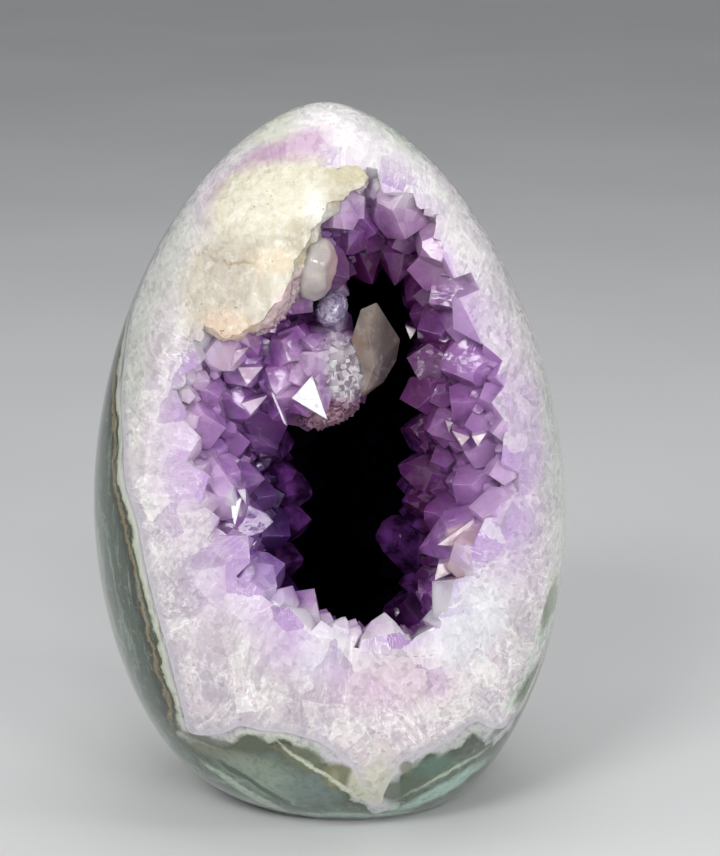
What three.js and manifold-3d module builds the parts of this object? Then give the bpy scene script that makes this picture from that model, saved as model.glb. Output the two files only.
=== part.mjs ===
// A polished egg of banded agate and quartz, cut into an open pocket of amethyst crystals.
// Millimetres, +Z up, the opening faces -Y. The egg stands on its small flat foot at z = 0.
import * as THREE from 'three';
import { mergeVertices } from 'three/addons/utils/BufferGeometryUtils.js';
import { ConvexGeometry } from 'three/addons/geometries/ConvexGeometry.js';
import Module from 'manifold-3d';

const wasm = await Module();
wasm.setup();

// The egg's outside
const HEIGHT = 150;
const HALF_WIDTH = 50.3;
const WIDEST_AT = 63.2;
const LOWER_REACH = 72.9;
const DEPTH_RATIO = 0.84;
const SECTION_POWER = 2.15;
const CROWN_SHAPE = [1.841, 1.713];
const BELLY_SHAPE = [2.034, 2.187];
const LEAN = -2.23;
const LEAN_BEND = 1.22;
const FOOT_SHIFT = 3.3;
const FOOT_SHIFT_FADE = 6;
const FOOT_ROUNDING = 0.15;
const FOOT_ROUNDING_FADE = 3;
const EGG_RINGS = 24;
const EGG_SIDES = 38;

// The pocket, as one row for each place round its edge, clockwise from the top as seen from the
// front: x and z of the crystal tips where the polished face cuts them, then at the throat
const POCKET_EDGE = [
  [6, 135, 11, 115],
  [18, 129, 14, 110],
  [24.5, 118, 15, 103],
  [31, 104, 15, 94],
  [33, 89, 15, 84],
  [34, 73, 13.5, 72],
  [26, 63, 14, 62],
  [21, 54, 15.5, 51],
  [19, 48, 14, 42],
  [6, 50, 5, 39],
  [-6, 56, -4, 44],
  [-16, 64, -7.5, 54],
  [-22, 77, -6.5, 66],
  [-26, 92, -7, 78],
  [-25, 101, -6, 90],
  [-17, 110, -3, 102],
  [-5, 118, 3, 110],
  [-4, 128, 7, 114],
];
const POCKET_SIDES = 32;
const THROAT_Y = -12;
const THROAT_RISE = 0.45;
const THROAT_RISES_ABOVE = 95;
const POCKET_DEPTHS = [-0.9, 0.3, 1, 2, 3];
const SLANT = 0.75;
const MOUTH_FRONT = [5, -90, 90];
const CHAMBER = { bulge: 4, y: 2 };
const CHAMBER_BACK = { bulge: -3, y: 13 };
const POCKET_END = [5, 17, 78];
const SPINE = { x: 5, low: 58, high: 99 };

// The crust: its crystals stand on a bed, and the bed is thick enough to carry them
const CRYSTAL_REACH = 6;
const BED_THICKNESS = 5;
const GAP = 0.3;
const SHORTEST_EDGE = 0.1;
const HEX = 6;
const TIP_STEEPNESS = 1.1;
const CRYSTAL_LEAN = 0.2;
const CRYSTAL_SEED = 30;
const CROWDING = 0.6;
const CRYSTAL_ROWS = [
  { depth: -0.02, spacing: 10.5, radius: [5, 6.6] },
  { depth: 0.32, spacing: 10, radius: [4.8, 6.4] },
  { depth: 0.66, spacing: 9.5, radius: [4.6, 6.2] },
  { depth: 0.96, spacing: 10, radius: [4.6, 6] },
  { depth: 1.6, spacing: 15, radius: [6, 8] },
  { depth: 2.5, spacing: 16, radius: [6.5, 8.5] },
  { depth: 3.5, spacing: 16, radius: [6.5, 8.5] },
];

// Crystals that stand out, as the places of tip and root and the radius
const NAMED_CRYSTALS = [
  [15.4, -17, 125.3, 14, -10, 132.5, 6],
  [13.5, -8, 114, 15, -3.5, 121, 5],
  [22.4, -21, 121, 21, -12, 124.5, 3.8],
  [26.5, -25, 119, 27, -16, 124, 4.6],
  [25, -23, 114, 34.5, -18, 108, 6.5],
  [22.7, -19.5, 99, 31, -15.5, 100, 6.4],
  [16.4, -13.5, 99.5, 23, -10, 98, 5.6],
  [1, -19, 127.5, 3.5, -11, 131, 4.2],
  [3.3, -13, 121, 4.3, -7, 126, 4.6],
  [7.8, -9, 120.5, 8, -4.5, 125, 3.4],
  [8.8, -6, 113.7, 6.5, -1, 120, 5.6],
  [14.2, -13, 76.6, 21.5, -11, 74.5, 5],
  [19, -24.5, 62.3, 30, -24.5, 65, 6.2],
  [11.3, -12, 64, 17.5, -8, 56, 4.4],
  [15.2, -16, 47.4, 18.5, -8, 41, 6],
  [21.2, -34, 58.2, 31, -33, 52, 7],
  [28.5, -28, 72.2, 37, -27, 69.5, 5.2],
  [-8.7, -41.6, 55.8, -7.6, -38, 42.5, 6.2],
  [-1.2, -42, 52.8, -1.2, -40, 40, 5],
  [-7, -12.5, 75, -13.5, -8, 72, 4.6],
  [-3.7, -12, 70, -10, -8, 70, 4.4],
  [-3.9, -13, 64.7, -10.5, -9, 63, 4.2],
  [-5.6, -13, 56, -12, -9, 55, 4.4],
  [-6.4, -15, 50, -13, -11, 46, 4.4],
  [-19.7, -28, 100.5, -21.5, -20, 104, 4.6],
  [-16.4, -24, 96.4, -18, -16, 100, 4.6],
  [-15.7, -22.5, 89.6, -18.5, -15, 92.3, 4.8],
  [-17.5, -34, 72, -23, -28, 78, 4.5],
  [-0.1, -26, 90.6, -6, -18, 99, 5.2],
];

// The shelf of crystals that hangs over the dark chamber
const SHELF = { centre: [-4, -12, 97], reach: [13, 11, 9.5], tilt: 0.42 };
const SHELF_CRYSTALS = 18;

// Calcite: a cream cluster in the polished face, a blunt knob at its edge and a tan blade on the
// shelf. The cluster's outline is x and z on the face, clockwise from its upper left.
const CLUSTER_EDGE = [
  [-19.6, 136.4],
  [-13.5, 138.8],
  [-2.6, 139.5],
  [6.1, 138.7],
  [7.3, 136],
  [-0.2, 133],
  [-3.9, 127.2],
  [-6.1, 122.3],
  [-9.6, 115.3],
  [-13.9, 110.6],
  [-21, 107.3],
  [-25, 114.2],
  [-22.9, 122.6],
  [-20.6, 131.7],
];
const CLUSTER_MIDDLE = [-12, 129];
const CLUSTER_DEPTH = 9;
const KNOB = { centre: [-2.4, -21.5, 119.5], reach: [3.9, 4.6, 6.2], tilt: 0.25 };
const BLADE_POINTS = [
  [6.5, -17, 110.5],
  [9.7, -15, 111.5],
  [11.1, -15, 108.5],
  [14.6, -13.5, 103.3],
  [13.8, -14, 99],
  [11.2, -16, 95],
  [7.1, -17.5, 92.2],
  [4, -18, 92.2],
  [2.6, -18, 97],
  [4.4, -18, 104],
  [8.2, -20.5, 106],
  [9.2, -21.5, 99.5],
  [7.4, -21, 94.5],
  [8.5, -9, 107],
  [9.5, -8, 98],
  [5.5, -10, 94],
];

const random = seededRandom(CRYSTAL_SEED);

function seededRandom(seed) {
  let state = seed;
  return () => {
    state = (state + 0x6d2b79f5) | 0;
    let t = Math.imul(state ^ (state >>> 15), 1 | state);
    t = (t + Math.imul(t ^ (t >>> 7), 61 | t)) ^ t;
    return ((t ^ (t >>> 14)) >>> 0) / 4294967296;
  };
}

function between(low, high) {
  return low + (high - low) * random();
}

// Closed geometry in, solid out, with corners nearer than the distance joined
function solidOf(geometry, joined = 1e-4) {
  const bare = geometry.clone();
  bare.deleteAttribute('normal');
  bare.deleteAttribute('uv');
  const merged = mergeVertices(bare, joined);
  return new wasm.Manifold(new wasm.Mesh({
    numProp: 3,
    vertProperties: new Float32Array(merged.attributes.position.array),
    triVerts: new Uint32Array(merged.index.array),
  }));
}

function geometryOf(solid) {
  const mesh = solid.getMesh();
  const geometry = new THREE.BufferGeometry();
  geometry.setAttribute('position', new THREE.BufferAttribute(mesh.vertProperties, 3));
  geometry.setIndex(new THREE.BufferAttribute(mesh.triVerts, 1));
  return geometry;
}

// The largest piece of a solid, without crumbs, sealed hollows or splinters
function mainPiece(solid) {
  const pieces = solid.decompose();
  const largest = pieces.reduce((a, b) => (b.volume() > a.volume() ? b : a));
  return solidOf(geometryOf(largest), SHORTEST_EDGE);
}

function meshOf(solid, name, material) {
  const geometry = geometryOf(solid);
  geometry.computeVertexNormals();
  const object = new THREE.Mesh(geometry, material);
  object.name = name;
  return object;
}

// A closed skin over rings of points, with a point at each end. The rings run clockwise as seen
// from the start point.
function loft(rings, startPoint, endPoint) {
  const sides = rings[0].length;
  const points = [startPoint, ...rings.flat(), endPoint];
  const faces = [];
  const at = (ring, side) => 1 + ring * sides + (side % sides);
  for (let s = 0; s < sides; s++) {
    faces.push(0, at(0, s + 1), at(0, s));
    faces.push(points.length - 1, at(rings.length - 1, s), at(rings.length - 1, s + 1));
    for (let r = 0; r + 1 < rings.length; r++) {
      faces.push(at(r, s), at(r + 1, s + 1), at(r + 1, s));
      faces.push(at(r, s), at(r, s + 1), at(r + 1, s + 1));
    }
  }
  const geometry = new THREE.BufferGeometry().setFromPoints(points);
  geometry.setIndex(faces);
  return solidOf(geometry);
}

// Egg

function eggHalfWidth(z) {
  const upper = z > WIDEST_AT;
  const part = upper ? (z - WIDEST_AT) / (HEIGHT - WIDEST_AT) : (WIDEST_AT - z) / LOWER_REACH;
  const [inner, outer] = upper ? CROWN_SHAPE : BELLY_SHAPE;
  const full = HALF_WIDTH * (1 - part ** inner) ** (1 / outer);
  return full * (1 - FOOT_ROUNDING * Math.exp(-z / FOOT_ROUNDING_FADE));
}

function eggCentre(z) {
  const rise = (z - WIDEST_AT) / HEIGHT;
  return LEAN * rise + LEAN_BEND * rise ** 2 + FOOT_SHIFT * Math.exp(-z / FOOT_SHIFT_FADE);
}

function eggFrontY(x, z) {
  const width = eggHalfWidth(z);
  const across = Math.min(1, Math.abs(x - eggCentre(z)) / width);
  return -DEPTH_RATIO * width * (1 - across ** SECTION_POWER) ** (1 / SECTION_POWER);
}

function eggRing(z) {
  const width = eggHalfWidth(z);
  const ring = [];
  for (let s = 0; s < EGG_SIDES; s++) {
    const turn = (2 * Math.PI * s) / EGG_SIDES;
    const bulge = (value) => Math.sign(value) * Math.abs(value) ** (2 / SECTION_POWER);
    const x = eggCentre(z) + width * bulge(Math.cos(turn));
    ring.push(new THREE.Vector3(x, DEPTH_RATIO * width * bulge(Math.sin(turn)), z));
  }
  return ring;
}

function eggSolid() {
  const rings = [];
  for (let r = 0; r < EGG_RINGS; r++) {
    rings.push(eggRing((HEIGHT / 2) * (1 - Math.cos((Math.PI * r) / EGG_RINGS))));
  }
  const foot = new THREE.Vector3(eggCentre(0), 0, 0);
  const top = new THREE.Vector3(eggCentre(HEIGHT), 0, HEIGHT);
  return loft(rings, foot, top);
}

// Pocket

function throatY(z) {
  return THROAT_Y + THROAT_RISE * Math.max(0, z - THROAT_RISES_ABOVE);
}

// Curves through the rows of the pocket's edge, on the polished face and at the throat
const rimCurve = new THREE.CatmullRomCurve3(
  POCKET_EDGE.map(([x, z]) => new THREE.Vector3(x, eggFrontY(x, z), z)), true);
const throatCurve = new THREE.CatmullRomCurve3(
  POCKET_EDGE.map(([, , x, z]) => new THREE.Vector3(x, throatY(z), z)), true);

// Straight out, level, from the upright line through the pocket's middle, and a part of it back
function away(point, out, back) {
  const z = THREE.MathUtils.clamp(point.z, SPINE.low, SPINE.high);
  const level = new THREE.Vector3(point.x - SPINE.x, 0, point.z - z).normalize();
  return level.multiplyScalar(out).add(new THREE.Vector3(0, back, 0));
}

// Depth 0 is the polished face, 1 the throat, 2 the wide chamber, 3 its back and 4 its end. Turn
// goes from 0 to 1 round the pocket, clockwise from the top. Crystal tips lie where grow is 0.
function pocketPoint(turn, depth, grow = 0) {
  const u = ((turn % 1) + 1) % 1;
  const rim = rimCurve.getPoint(u);
  const throat = throatCurve.getPoint(u);
  if (depth <= 1) {
    const atRim = away(rim, SLANT * grow, SLANT * grow);
    const offset = atRim.lerp(away(throat, grow, 0), Math.max(0, depth));
    return rim.lerp(throat, depth).add(offset);
  }
  const chamber = throat.clone().add(away(throat, CHAMBER.bulge + grow, 0)).setY(CHAMBER.y);
  if (depth <= 2) {
    return throat.add(away(throat, grow, 0)).lerp(chamber, depth - 1);
  }
  const back = throat.add(away(throat, CHAMBER_BACK.bulge + SLANT * grow, 0));
  back.setY(CHAMBER_BACK.y + SLANT * grow);
  if (depth <= 3) {
    return chamber.lerp(back, depth - 2);
  }
  const [x, y, z] = POCKET_END;
  return back.lerp(new THREE.Vector3(x, y + grow, z), depth - 3);
}

// Square to the tip surface, out of the pocket and into the stone
function intoStone(turn, depth) {
  const along = pocketPoint(turn + 0.02, depth).sub(pocketPoint(turn - 0.02, depth));
  const inward = pocketPoint(turn, depth + 0.08).sub(pocketPoint(turn, depth - 0.08));
  return along.cross(inward).normalize();
}

function pocketSolid(grow) {
  const rings = POCKET_DEPTHS.map((depth) => {
    const ring = [];
    for (let s = 0; s < POCKET_SIDES; s++) {
      ring.push(pocketPoint(s / POCKET_SIDES, depth, grow));
    }
    return ring;
  });
  const [x, y, z] = POCKET_END;
  return loft(rings, new THREE.Vector3(...MOUTH_FRONT), new THREE.Vector3(x, y + grow, z));
}

// Crystals

// A six-sided crystal from its root to its tip, with a pointed end of uneven faces
function crystal({ tip, axis, radius, length, spin }) {
  const turned = new THREE.Quaternion().setFromUnitVectors(new THREE.Vector3(0, 0, 1), axis);
  const place = (x, y, z) => new THREE.Vector3(x, y, z).applyQuaternion(turned).add(tip);
  const root = [];
  const shoulder = [];
  for (let k = 0; k < HEX; k++) {
    const turn = spin + (2 * Math.PI * k) / HEX + between(-0.12, 0.12);
    const reach = radius * between(0.86, 1.1);
    const drop = radius * (TIP_STEEPNESS + (k % 2 ? 0.22 : -0.18) + between(-0.12, 0.12));
    const x = reach * Math.cos(turn);
    const y = reach * Math.sin(turn);
    root.push(place(x, y, -length));
    shoulder.push(place(x, y, -drop));
  }
  return loft([root, shoulder], place(0, 0, -length), tip);
}

function bedCrystal(turn, depth, radius) {
  const lean = new THREE.Vector3(between(-1, 1), between(-1, 1), between(-1, 1));
  const axis = intoStone(turn, depth).negate().addScaledVector(lean, CRYSTAL_LEAN).normalize();
  const root = pocketPoint(turn, depth, CRYSTAL_REACH);
  const reach = CRYSTAL_REACH * between(0.75, 1.2) + 0.35 * (radius - 4);
  return {
    tip: root.addScaledVector(axis, reach),
    axis,
    radius,
    length: reach + BED_THICKNESS / 2,
    spin: between(0, Math.PI),
  };
}

function namedCrystal([tipX, tipY, tipZ, rootX, rootY, rootZ, radius]) {
  const tip = new THREE.Vector3(tipX, tipY, tipZ);
  const axis = tip.clone().sub(new THREE.Vector3(rootX, rootY, rootZ));
  const length = axis.length() + BED_THICKNESS / 2;
  return { tip, axis: axis.normalize(), radius, length, spin: between(0, Math.PI) };
}

function rowOfCrystals({ depth, spacing, radius }) {
  let edge = 0;
  for (let s = 0; s < POCKET_SIDES; s++) {
    const here = pocketPoint(s / POCKET_SIDES, depth, CRYSTAL_REACH);
    edge += here.distanceTo(pocketPoint((s + 1) / POCKET_SIDES, depth, CRYSTAL_REACH));
  }
  const count = Math.round(edge / spacing);
  const start = between(0, 1);
  const row = [];
  for (let k = 0; k < count; k++) {
    const turn = (start + k + between(-0.25, 0.25)) / count;
    row.push(bedCrystal(turn, depth + between(-0.07, 0.07), between(...radius)));
  }
  return row;
}

function shelfShape() {
  const ball = new THREE.SphereGeometry(1, 14, 10);
  ball.scale(...SHELF.reach);
  ball.rotateY(-SHELF.tilt);
  ball.translate(...SHELF.centre);
  return solidOf(ball);
}

// Crystals all over the front of the shelf, pointing away from its middle
function shelfCrystals() {
  const golden = Math.PI * (3 - Math.sqrt(5));
  const made = [];
  for (let k = 0; k < SHELF_CRYSTALS; k++) {
    const forward = (k + 0.5) / SHELF_CRYSTALS;
    const side = Math.sqrt(1 - forward ** 2);
    const out = new THREE.Vector3(side * Math.cos(golden * k), -forward, side * Math.sin(golden * k));
    const spot = out.clone().multiply(new THREE.Vector3(...SHELF.reach));
    const tilt = (v) => v.applyAxisAngle(new THREE.Vector3(0, 1, 0), -SHELF.tilt);
    const root = tilt(spot).add(new THREE.Vector3(...SHELF.centre));
    const radius = between(3.4, 5);
    const reach = radius * between(0.8, 1.2);
    const axis = tilt(out.divide(new THREE.Vector3(...SHELF.reach))).normalize();
    made.push({
      tip: root.addScaledVector(axis, reach),
      axis,
      radius,
      length: reach + radius,
      spin: between(0, Math.PI),
    });
  }
  return made;
}

// Calcite

// A closed outline of x and z, clockwise, moved outwards by a distance
function offsetOutline(outline, distance) {
  const count = outline.length;
  return outline.map(([x, z], k) => {
    const [beforeX, beforeZ] = outline[(k + count - 1) % count];
    const [afterX, afterZ] = outline[(k + 1) % count];
    const arriving = new THREE.Vector2(beforeZ - z, x - beforeX).normalize();
    const leaving = new THREE.Vector2(z - afterZ, afterX - x).normalize();
    const out = arriving.add(leaving);
    out.multiplyScalar((2 * distance) / out.lengthSq());
    return [x + out.x, z + out.y];
  });
}

// The cluster reaches from in front of the polished face to its blunt end in the stone
function clusterSolid(grow) {
  const [midX, midZ] = CLUSTER_MIDDLE;
  const ringAt = (scale, behind) => {
    const outline = CLUSTER_EDGE.map(([x, z]) => [
      midX + scale * (x - midX),
      midZ + scale * (z - midZ),
    ]);
    return offsetOutline(outline, grow).map(([x, z], k) => {
      return new THREE.Vector3(x, eggFrontY(...outline[k]) + behind, z);
    });
  };
  const rings = [
    ringAt(1, -14),
    ringAt(1, 0.3 * CLUSTER_DEPTH),
    ringAt(0.6, 0.85 * CLUSTER_DEPTH + grow),
  ];
  const deepest = eggFrontY(midX, midZ) + CLUSTER_DEPTH + grow;
  const outside = new THREE.Vector3(midX, deepest - 60, midZ);
  return loft(rings, outside, new THREE.Vector3(midX, deepest, midZ));
}

function knobSolid(grow) {
  const ball = new THREE.SphereGeometry(1, 12, 9);
  ball.scale(...KNOB.reach.map((reach) => reach + grow));
  ball.rotateY(KNOB.tilt);
  ball.translate(...KNOB.centre);
  return solidOf(ball);
}

function bladeSolid(grow) {
  const points = BLADE_POINTS.map((point) => new THREE.Vector3(...point));
  const middle = points.reduce((sum, point) => sum.add(point), new THREE.Vector3());
  middle.divideScalar(points.length);
  for (const point of points) {
    const out = point.clone().sub(middle);
    point.addScaledVector(out.normalize(), 1.6 * grow);
  }
  return solidOf(new ConvexGeometry(points));
}

// The whole geode

function crustSolid(egg) {
  const named = NAMED_CRYSTALS.map(namedCrystal);
  const free = (one) => named.every((other) => {
    return one.tip.distanceTo(other.tip) > CROWDING * (one.radius + other.radius);
  });
  const filling = CRYSTAL_ROWS.flatMap(rowOfCrystals).concat(shelfCrystals()).filter(free);
  const crystals = named.concat(filling);
  let crust = pocketSolid(CRYSTAL_REACH + BED_THICKNESS).subtract(pocketSolid(CRYSTAL_REACH));
  crust = crust.add(shelfShape());
  for (const one of crystals) {
    crust = crust.add(crystal(one));
  }
  const reach = pocketSolid(CRYSTAL_REACH + BED_THICKNESS);
  crust = crust.intersect(reach).intersect(egg);
  for (const guest of [clusterSolid(GAP), knobSolid(GAP), bladeSolid(GAP)]) {
    crust = crust.subtract(guest);
  }
  return mainPiece(crust);
}

function stone(color, roughness) {
  return new THREE.MeshStandardMaterial({ color, roughness, metalness: 0 });
}

const egg = eggSolid();
const wall = egg
  .subtract(pocketSolid(CRYSTAL_REACH + BED_THICKNESS))
  .subtract(pocketSolid(CRYSTAL_REACH + BED_THICKNESS + GAP))
  .subtract(clusterSolid(GAP));
const cluster = clusterSolid(0).intersect(egg).subtract(knobSolid(GAP));

const group = new THREE.Group();
group.add(
  meshOf(mainPiece(wall), 'geode_wall', stone('#c9cfc4', 0.15)),
  meshOf(crustSolid(egg), 'amethyst_crust', stone('#8a5bb0', 0.1)),
  meshOf(mainPiece(cluster), 'calcite_cluster', stone('#e9dfc0', 0.4)),
  meshOf(knobSolid(0).intersect(egg), 'calcite_knob', stone('#c8bfae', 0.3)),
  meshOf(bladeSolid(0), 'calcite_blade', stone('#b7a189', 0.3)),
);

// The geode stands on z = 0, with the middle of its box over the origin
const box = new THREE.Box3().setFromObject(group);
const middle = box.getCenter(new THREE.Vector3());
for (const piece of group.children) {
  piece.geometry.translate(-middle.x, -middle.y, -box.min.z);
}
export default group;
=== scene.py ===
"""The looks of a polished standing geode: a banded agate rind, a band of white quartz, a pocket of
amethyst crystals and three calcite growths.

Shapes are drawn in millimetres, +Z up and the opening facing -Y. to_frame() turns a finished mesh
into metres and moves it to the frame's place. Colours are given as 0 to 255, as on a screen.
"""
import math
from itertools import combinations

import bmesh
import bpy
import numpy as np
from mathutils import Matrix, Vector
from mathutils.bvhtree import BVHTree


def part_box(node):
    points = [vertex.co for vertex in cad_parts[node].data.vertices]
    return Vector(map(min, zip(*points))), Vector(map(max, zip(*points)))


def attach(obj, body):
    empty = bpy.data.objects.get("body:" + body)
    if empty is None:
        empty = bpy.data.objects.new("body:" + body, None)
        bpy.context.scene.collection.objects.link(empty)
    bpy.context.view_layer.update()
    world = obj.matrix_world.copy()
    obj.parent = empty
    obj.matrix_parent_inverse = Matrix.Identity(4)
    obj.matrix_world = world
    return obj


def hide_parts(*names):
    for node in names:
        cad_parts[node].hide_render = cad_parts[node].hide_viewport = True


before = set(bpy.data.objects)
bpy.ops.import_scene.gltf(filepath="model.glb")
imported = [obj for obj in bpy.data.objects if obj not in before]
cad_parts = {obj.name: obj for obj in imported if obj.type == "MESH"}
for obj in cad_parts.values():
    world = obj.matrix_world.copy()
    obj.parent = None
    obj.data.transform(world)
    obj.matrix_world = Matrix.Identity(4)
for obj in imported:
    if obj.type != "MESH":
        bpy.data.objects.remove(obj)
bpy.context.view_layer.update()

MM = 0.001
SEED = 7

# The egg's outside
HEIGHT = 150
HALF_WIDTH = 50.15
WIDEST_AT = 63.2
LOWER_REACH = 72.9
DEPTH_RATIO = 0.835
SECTION_POWER = 2.15
CROWN_SHAPE = (1.841, 1.713)
BELLY_SHAPE = (2.034, 2.187)
LEAN = -2.23
LEAN_BEND = 1.22
FOOT_SHIFT = 3.3
FOOT_SHIFT_FADE = 6
FOOT_ROUNDING = 0.15
FOOT_ROUNDING_FADE = 3
EGG_RINGS = 190
EGG_SIDES = 280
NARROWEST = 0.01

# The pocket, clockwise from its top: x and z of the crystal tips on the face, then at the throat
POCKET_EDGE = [
    (6, 135, 11, 115), (18, 129, 14, 110), (24.5, 118, 15, 103), (31, 104, 15, 94),
    (33, 89, 15, 84), (34, 73, 13.5, 72), (26, 63, 14, 62), (21, 54, 15.5, 51), (19, 48, 14, 42),
    (6, 50, 5, 39), (-6, 56, -4, 44), (-16, 64, -7.5, 54), (-22, 77, -6.5, 66), (-26, 92, -7, 78),
    (-25, 101, -6, 90), (-17, 110, -3, 102), (-5, 118, 3, 110), (-4, 128, 7, 114),
]
POCKET_SIDES = 180
POCKET_DEPTHS = (-0.9, 0.3, 1, 2, 3)
THROAT_Y = -12
THROAT_RISE = 0.45
THROAT_RISES_ABOVE = 95
SLANT = 0.75
MOUTH_FRONT = (5, -90, 90)
CHAMBER_BULGE, CHAMBER_Y = 4, 2
BACK_BULGE, BACK_Y = -3, 13
POCKET_END = (5, 17, 78)
SPINE_X, SPINE_LOW, SPINE_HIGH = 5, 58, 99

# The crust of crystals and the bed it grows from
CRYSTAL_REACH = 6
BED = 1.2
SEAM = 0.005
SHORTEST_EDGE = 0.02

# Where the white quartz ends and the green rind starts, as x and z on the front of the egg,
# clockwise from the upper left. At the right and the top it passes over to the back.
RIND_EDGE = [
    (-32.3, 126), (-36.4, 118.6), (-40.5, 108.7), (-41.9, 97.6), (-42.2, 92), (-41.6, 84.6),
    (-41.2, 76.7), (-38.6, 69), (-37.1, 60.8), (-35.2, 52.2), (-32.2, 39.4), (-30.1, 27.6),
    (-29.1, 23.1), (-26.9, 23), (-20.9, 25.4), (-18.1, 27.4), (-13.8, 26.9), (-8.1, 26.7),
    (-5.1, 25.8), (-2.4, 24.9), (0.4, 22.9), (2.6, 21.1), (4.5, 18.1), (6.1, 13.4), (9.2, 7.3),
    (10.5, 6.1), (11.3, 10), (13.3, 15.6), (14.9, 18.9), (17.2, 20.5), (21.1, 21.3),
    (25.9, 23.1), (27.9, 25.1), (30.4, 25.9), (33.6, 22.9), (36.8, 21.2), (40, 25),
    (44, 33), (50, 48), (56, 63), (58, 85), (52, 105), (44, 122), (34, 138), (20, 152),
    (0, 158), (-16, 152), (-26, 140),
]
EDGE_POINTS = 900
BACK_LIMIT = 3
# Waves of the rind's edge at the back: height, length up the stone and length across it
BACK_WAVES = [(2.5, 6, math.inf), (1, 2.3, 5)]

# Crystals that stand out, as the places of tip and root and the radius
NAMED_CRYSTALS = [
    (15.4, -17, 125.3, 14, -10, 132.5, 6), (13.5, -8, 114, 15, -3.5, 121, 5),
    (22.4, -21, 121, 21, -12, 124.5, 3.8), (26.5, -25, 119, 27, -16, 124, 4.6),
    (25, -23, 114, 34.5, -18, 108, 6.5), (22.7, -19.5, 99, 31, -15.5, 100, 6.4),
    (16.4, -13.5, 99.5, 23, -10, 98, 5.6), (1, -19, 127.5, 3.5, -11, 131, 4.2),
    (3.3, -13, 121, 4.3, -7, 126, 4.6), (7.8, -9, 120.5, 8, -4.5, 125, 3.4),
    (8.8, -6, 113.7, 6.5, -1, 120, 5.6), (14.2, -13, 76.6, 21.5, -11, 74.5, 5),
    (19, -24.5, 62.3, 30, -24.5, 65, 6.2), (11.3, -12, 64, 17.5, -8, 56, 4.4),
    (15.2, -16, 47.4, 18.5, -8, 41, 6), (21.2, -34, 58.2, 31, -33, 52, 7),
    (28.5, -28, 72.2, 37, -27, 69.5, 5.2), (-8.7, -41.6, 55.8, -7.6, -38, 42.5, 6.2),
    (-1.2, -42, 52.8, -1.2, -40, 40, 5), (-7, -12.5, 75, -13.5, -8, 72, 4.6),
    (-3.7, -12, 70, -10, -8, 70, 4.4), (-3.9, -13, 64.7, -10.5, -9, 63, 4.2),
    (-5.6, -13, 56, -12, -9, 55, 4.4), (-6.4, -15, 50, -13, -11, 46, 4.4),
    (-19.7, -28, 100.5, -21.5, -20, 104, 4.6), (-16.4, -24, 96.4, -18, -16, 100, 4.6),
    (-15.7, -22.5, 89.6, -18.5, -15, 92.3, 4.8), (-17.5, -34, 72, -23, -28, 78, 4.5),
    (-0.6, -24.5, 90.6, -6, -18, 98, 3.6), (-8, -24, 101.5, -8, -16, 103, 4.4),
    (-10.5, -25, 95, -9, -17, 98, 4.2),
]

# Sizes of the other crystals, largest first: radii, how close two may stand, and how many tries
CRYSTAL_SIZES = [
    ((4.4, 5.8), 0.66, 2500),
    ((3.2, 4.2), 0.64, 4000),
    ((2.0, 2.8), 0.66, 3000),
    ((1.1, 1.7), 0.7, 5000),
]
CRYSTAL_LEAN = 0.2
ROOT_DEPTH = 2.5
REACH_VARIETY = (0.75, 1.1)
USUAL_RADIUS = 4.2
REACH_PER_RADIUS = 0.9
FACE_TILT = math.radians(51.8)
FACE_WANDER = 0.02
SMALL_FACES = (0.05, 0.45)
PRISM_FACES, END_FACES = (0.8, 1.0), (0, 0.08)
PARALLEL, ON_PLANE = 1e-3, 1e-5
BED_TURNS, BED_RINGS = 420, 150
BED_DEPTHS = (-0.12, 3.7)
GROUP_GAP = (1.25, 0.4)
SPINE_POINTS = 5

# Faces that the polishing cut, and faces at the back of the hollow that get painted shade, by how deep
# they lie
POLISHED_DEPTH = 0.03
PAINTED_SHADE_DEPTH = 26.5
DEPTH_FROM_OUTSIDE = 4
# How a face's direction is mixed into a number that looks drawn by lot
FACET_MIX = (12.99, 78.23, 37.72)
FACET_SPREAD = 43758.5

# The shelf of crystals over the dark chamber
SHELF_CENTRE = (-4, -12, 97)
SHELF_REACH = (13, 11, 9.5)
SHELF_TILT = 0.42
SHELF_CRYSTALS = (40, (3.0, 4.4), (0.5, 0.9))

# Crystals on a ball, and how far a druse wraps round its back
BALL_LEAN = 0.35
BALL_SIDES, BALL_RINGS = 28, 18
DRUSE_WRAP = 0.3

# Patches of small crystals: middle, reach, turn, how many, their radii and how far they stand out
DRUSES = [
    ((1.8, -18.5, 97.5), (5.2, 4.5, 8.2), -0.15, 80, (0.8, 1.8), (0.1, 0.6)),
    ((0, -17, 89.5), (6.5, 4.5, 3.2), -0.35, 90, (0.5, 1.0), (0.2, 0.8)),
    ((-9.8, -23.5, 113), (7.6, 3, 2.4), -0.95, 110, (0.4, 0.9), (0.1, 0.7)),
    ((0.7, -16, 110.2), (3, 3.6, 3.8), 0.5, 60, (0.6, 1.1), (0, 0.35)),
]

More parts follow.
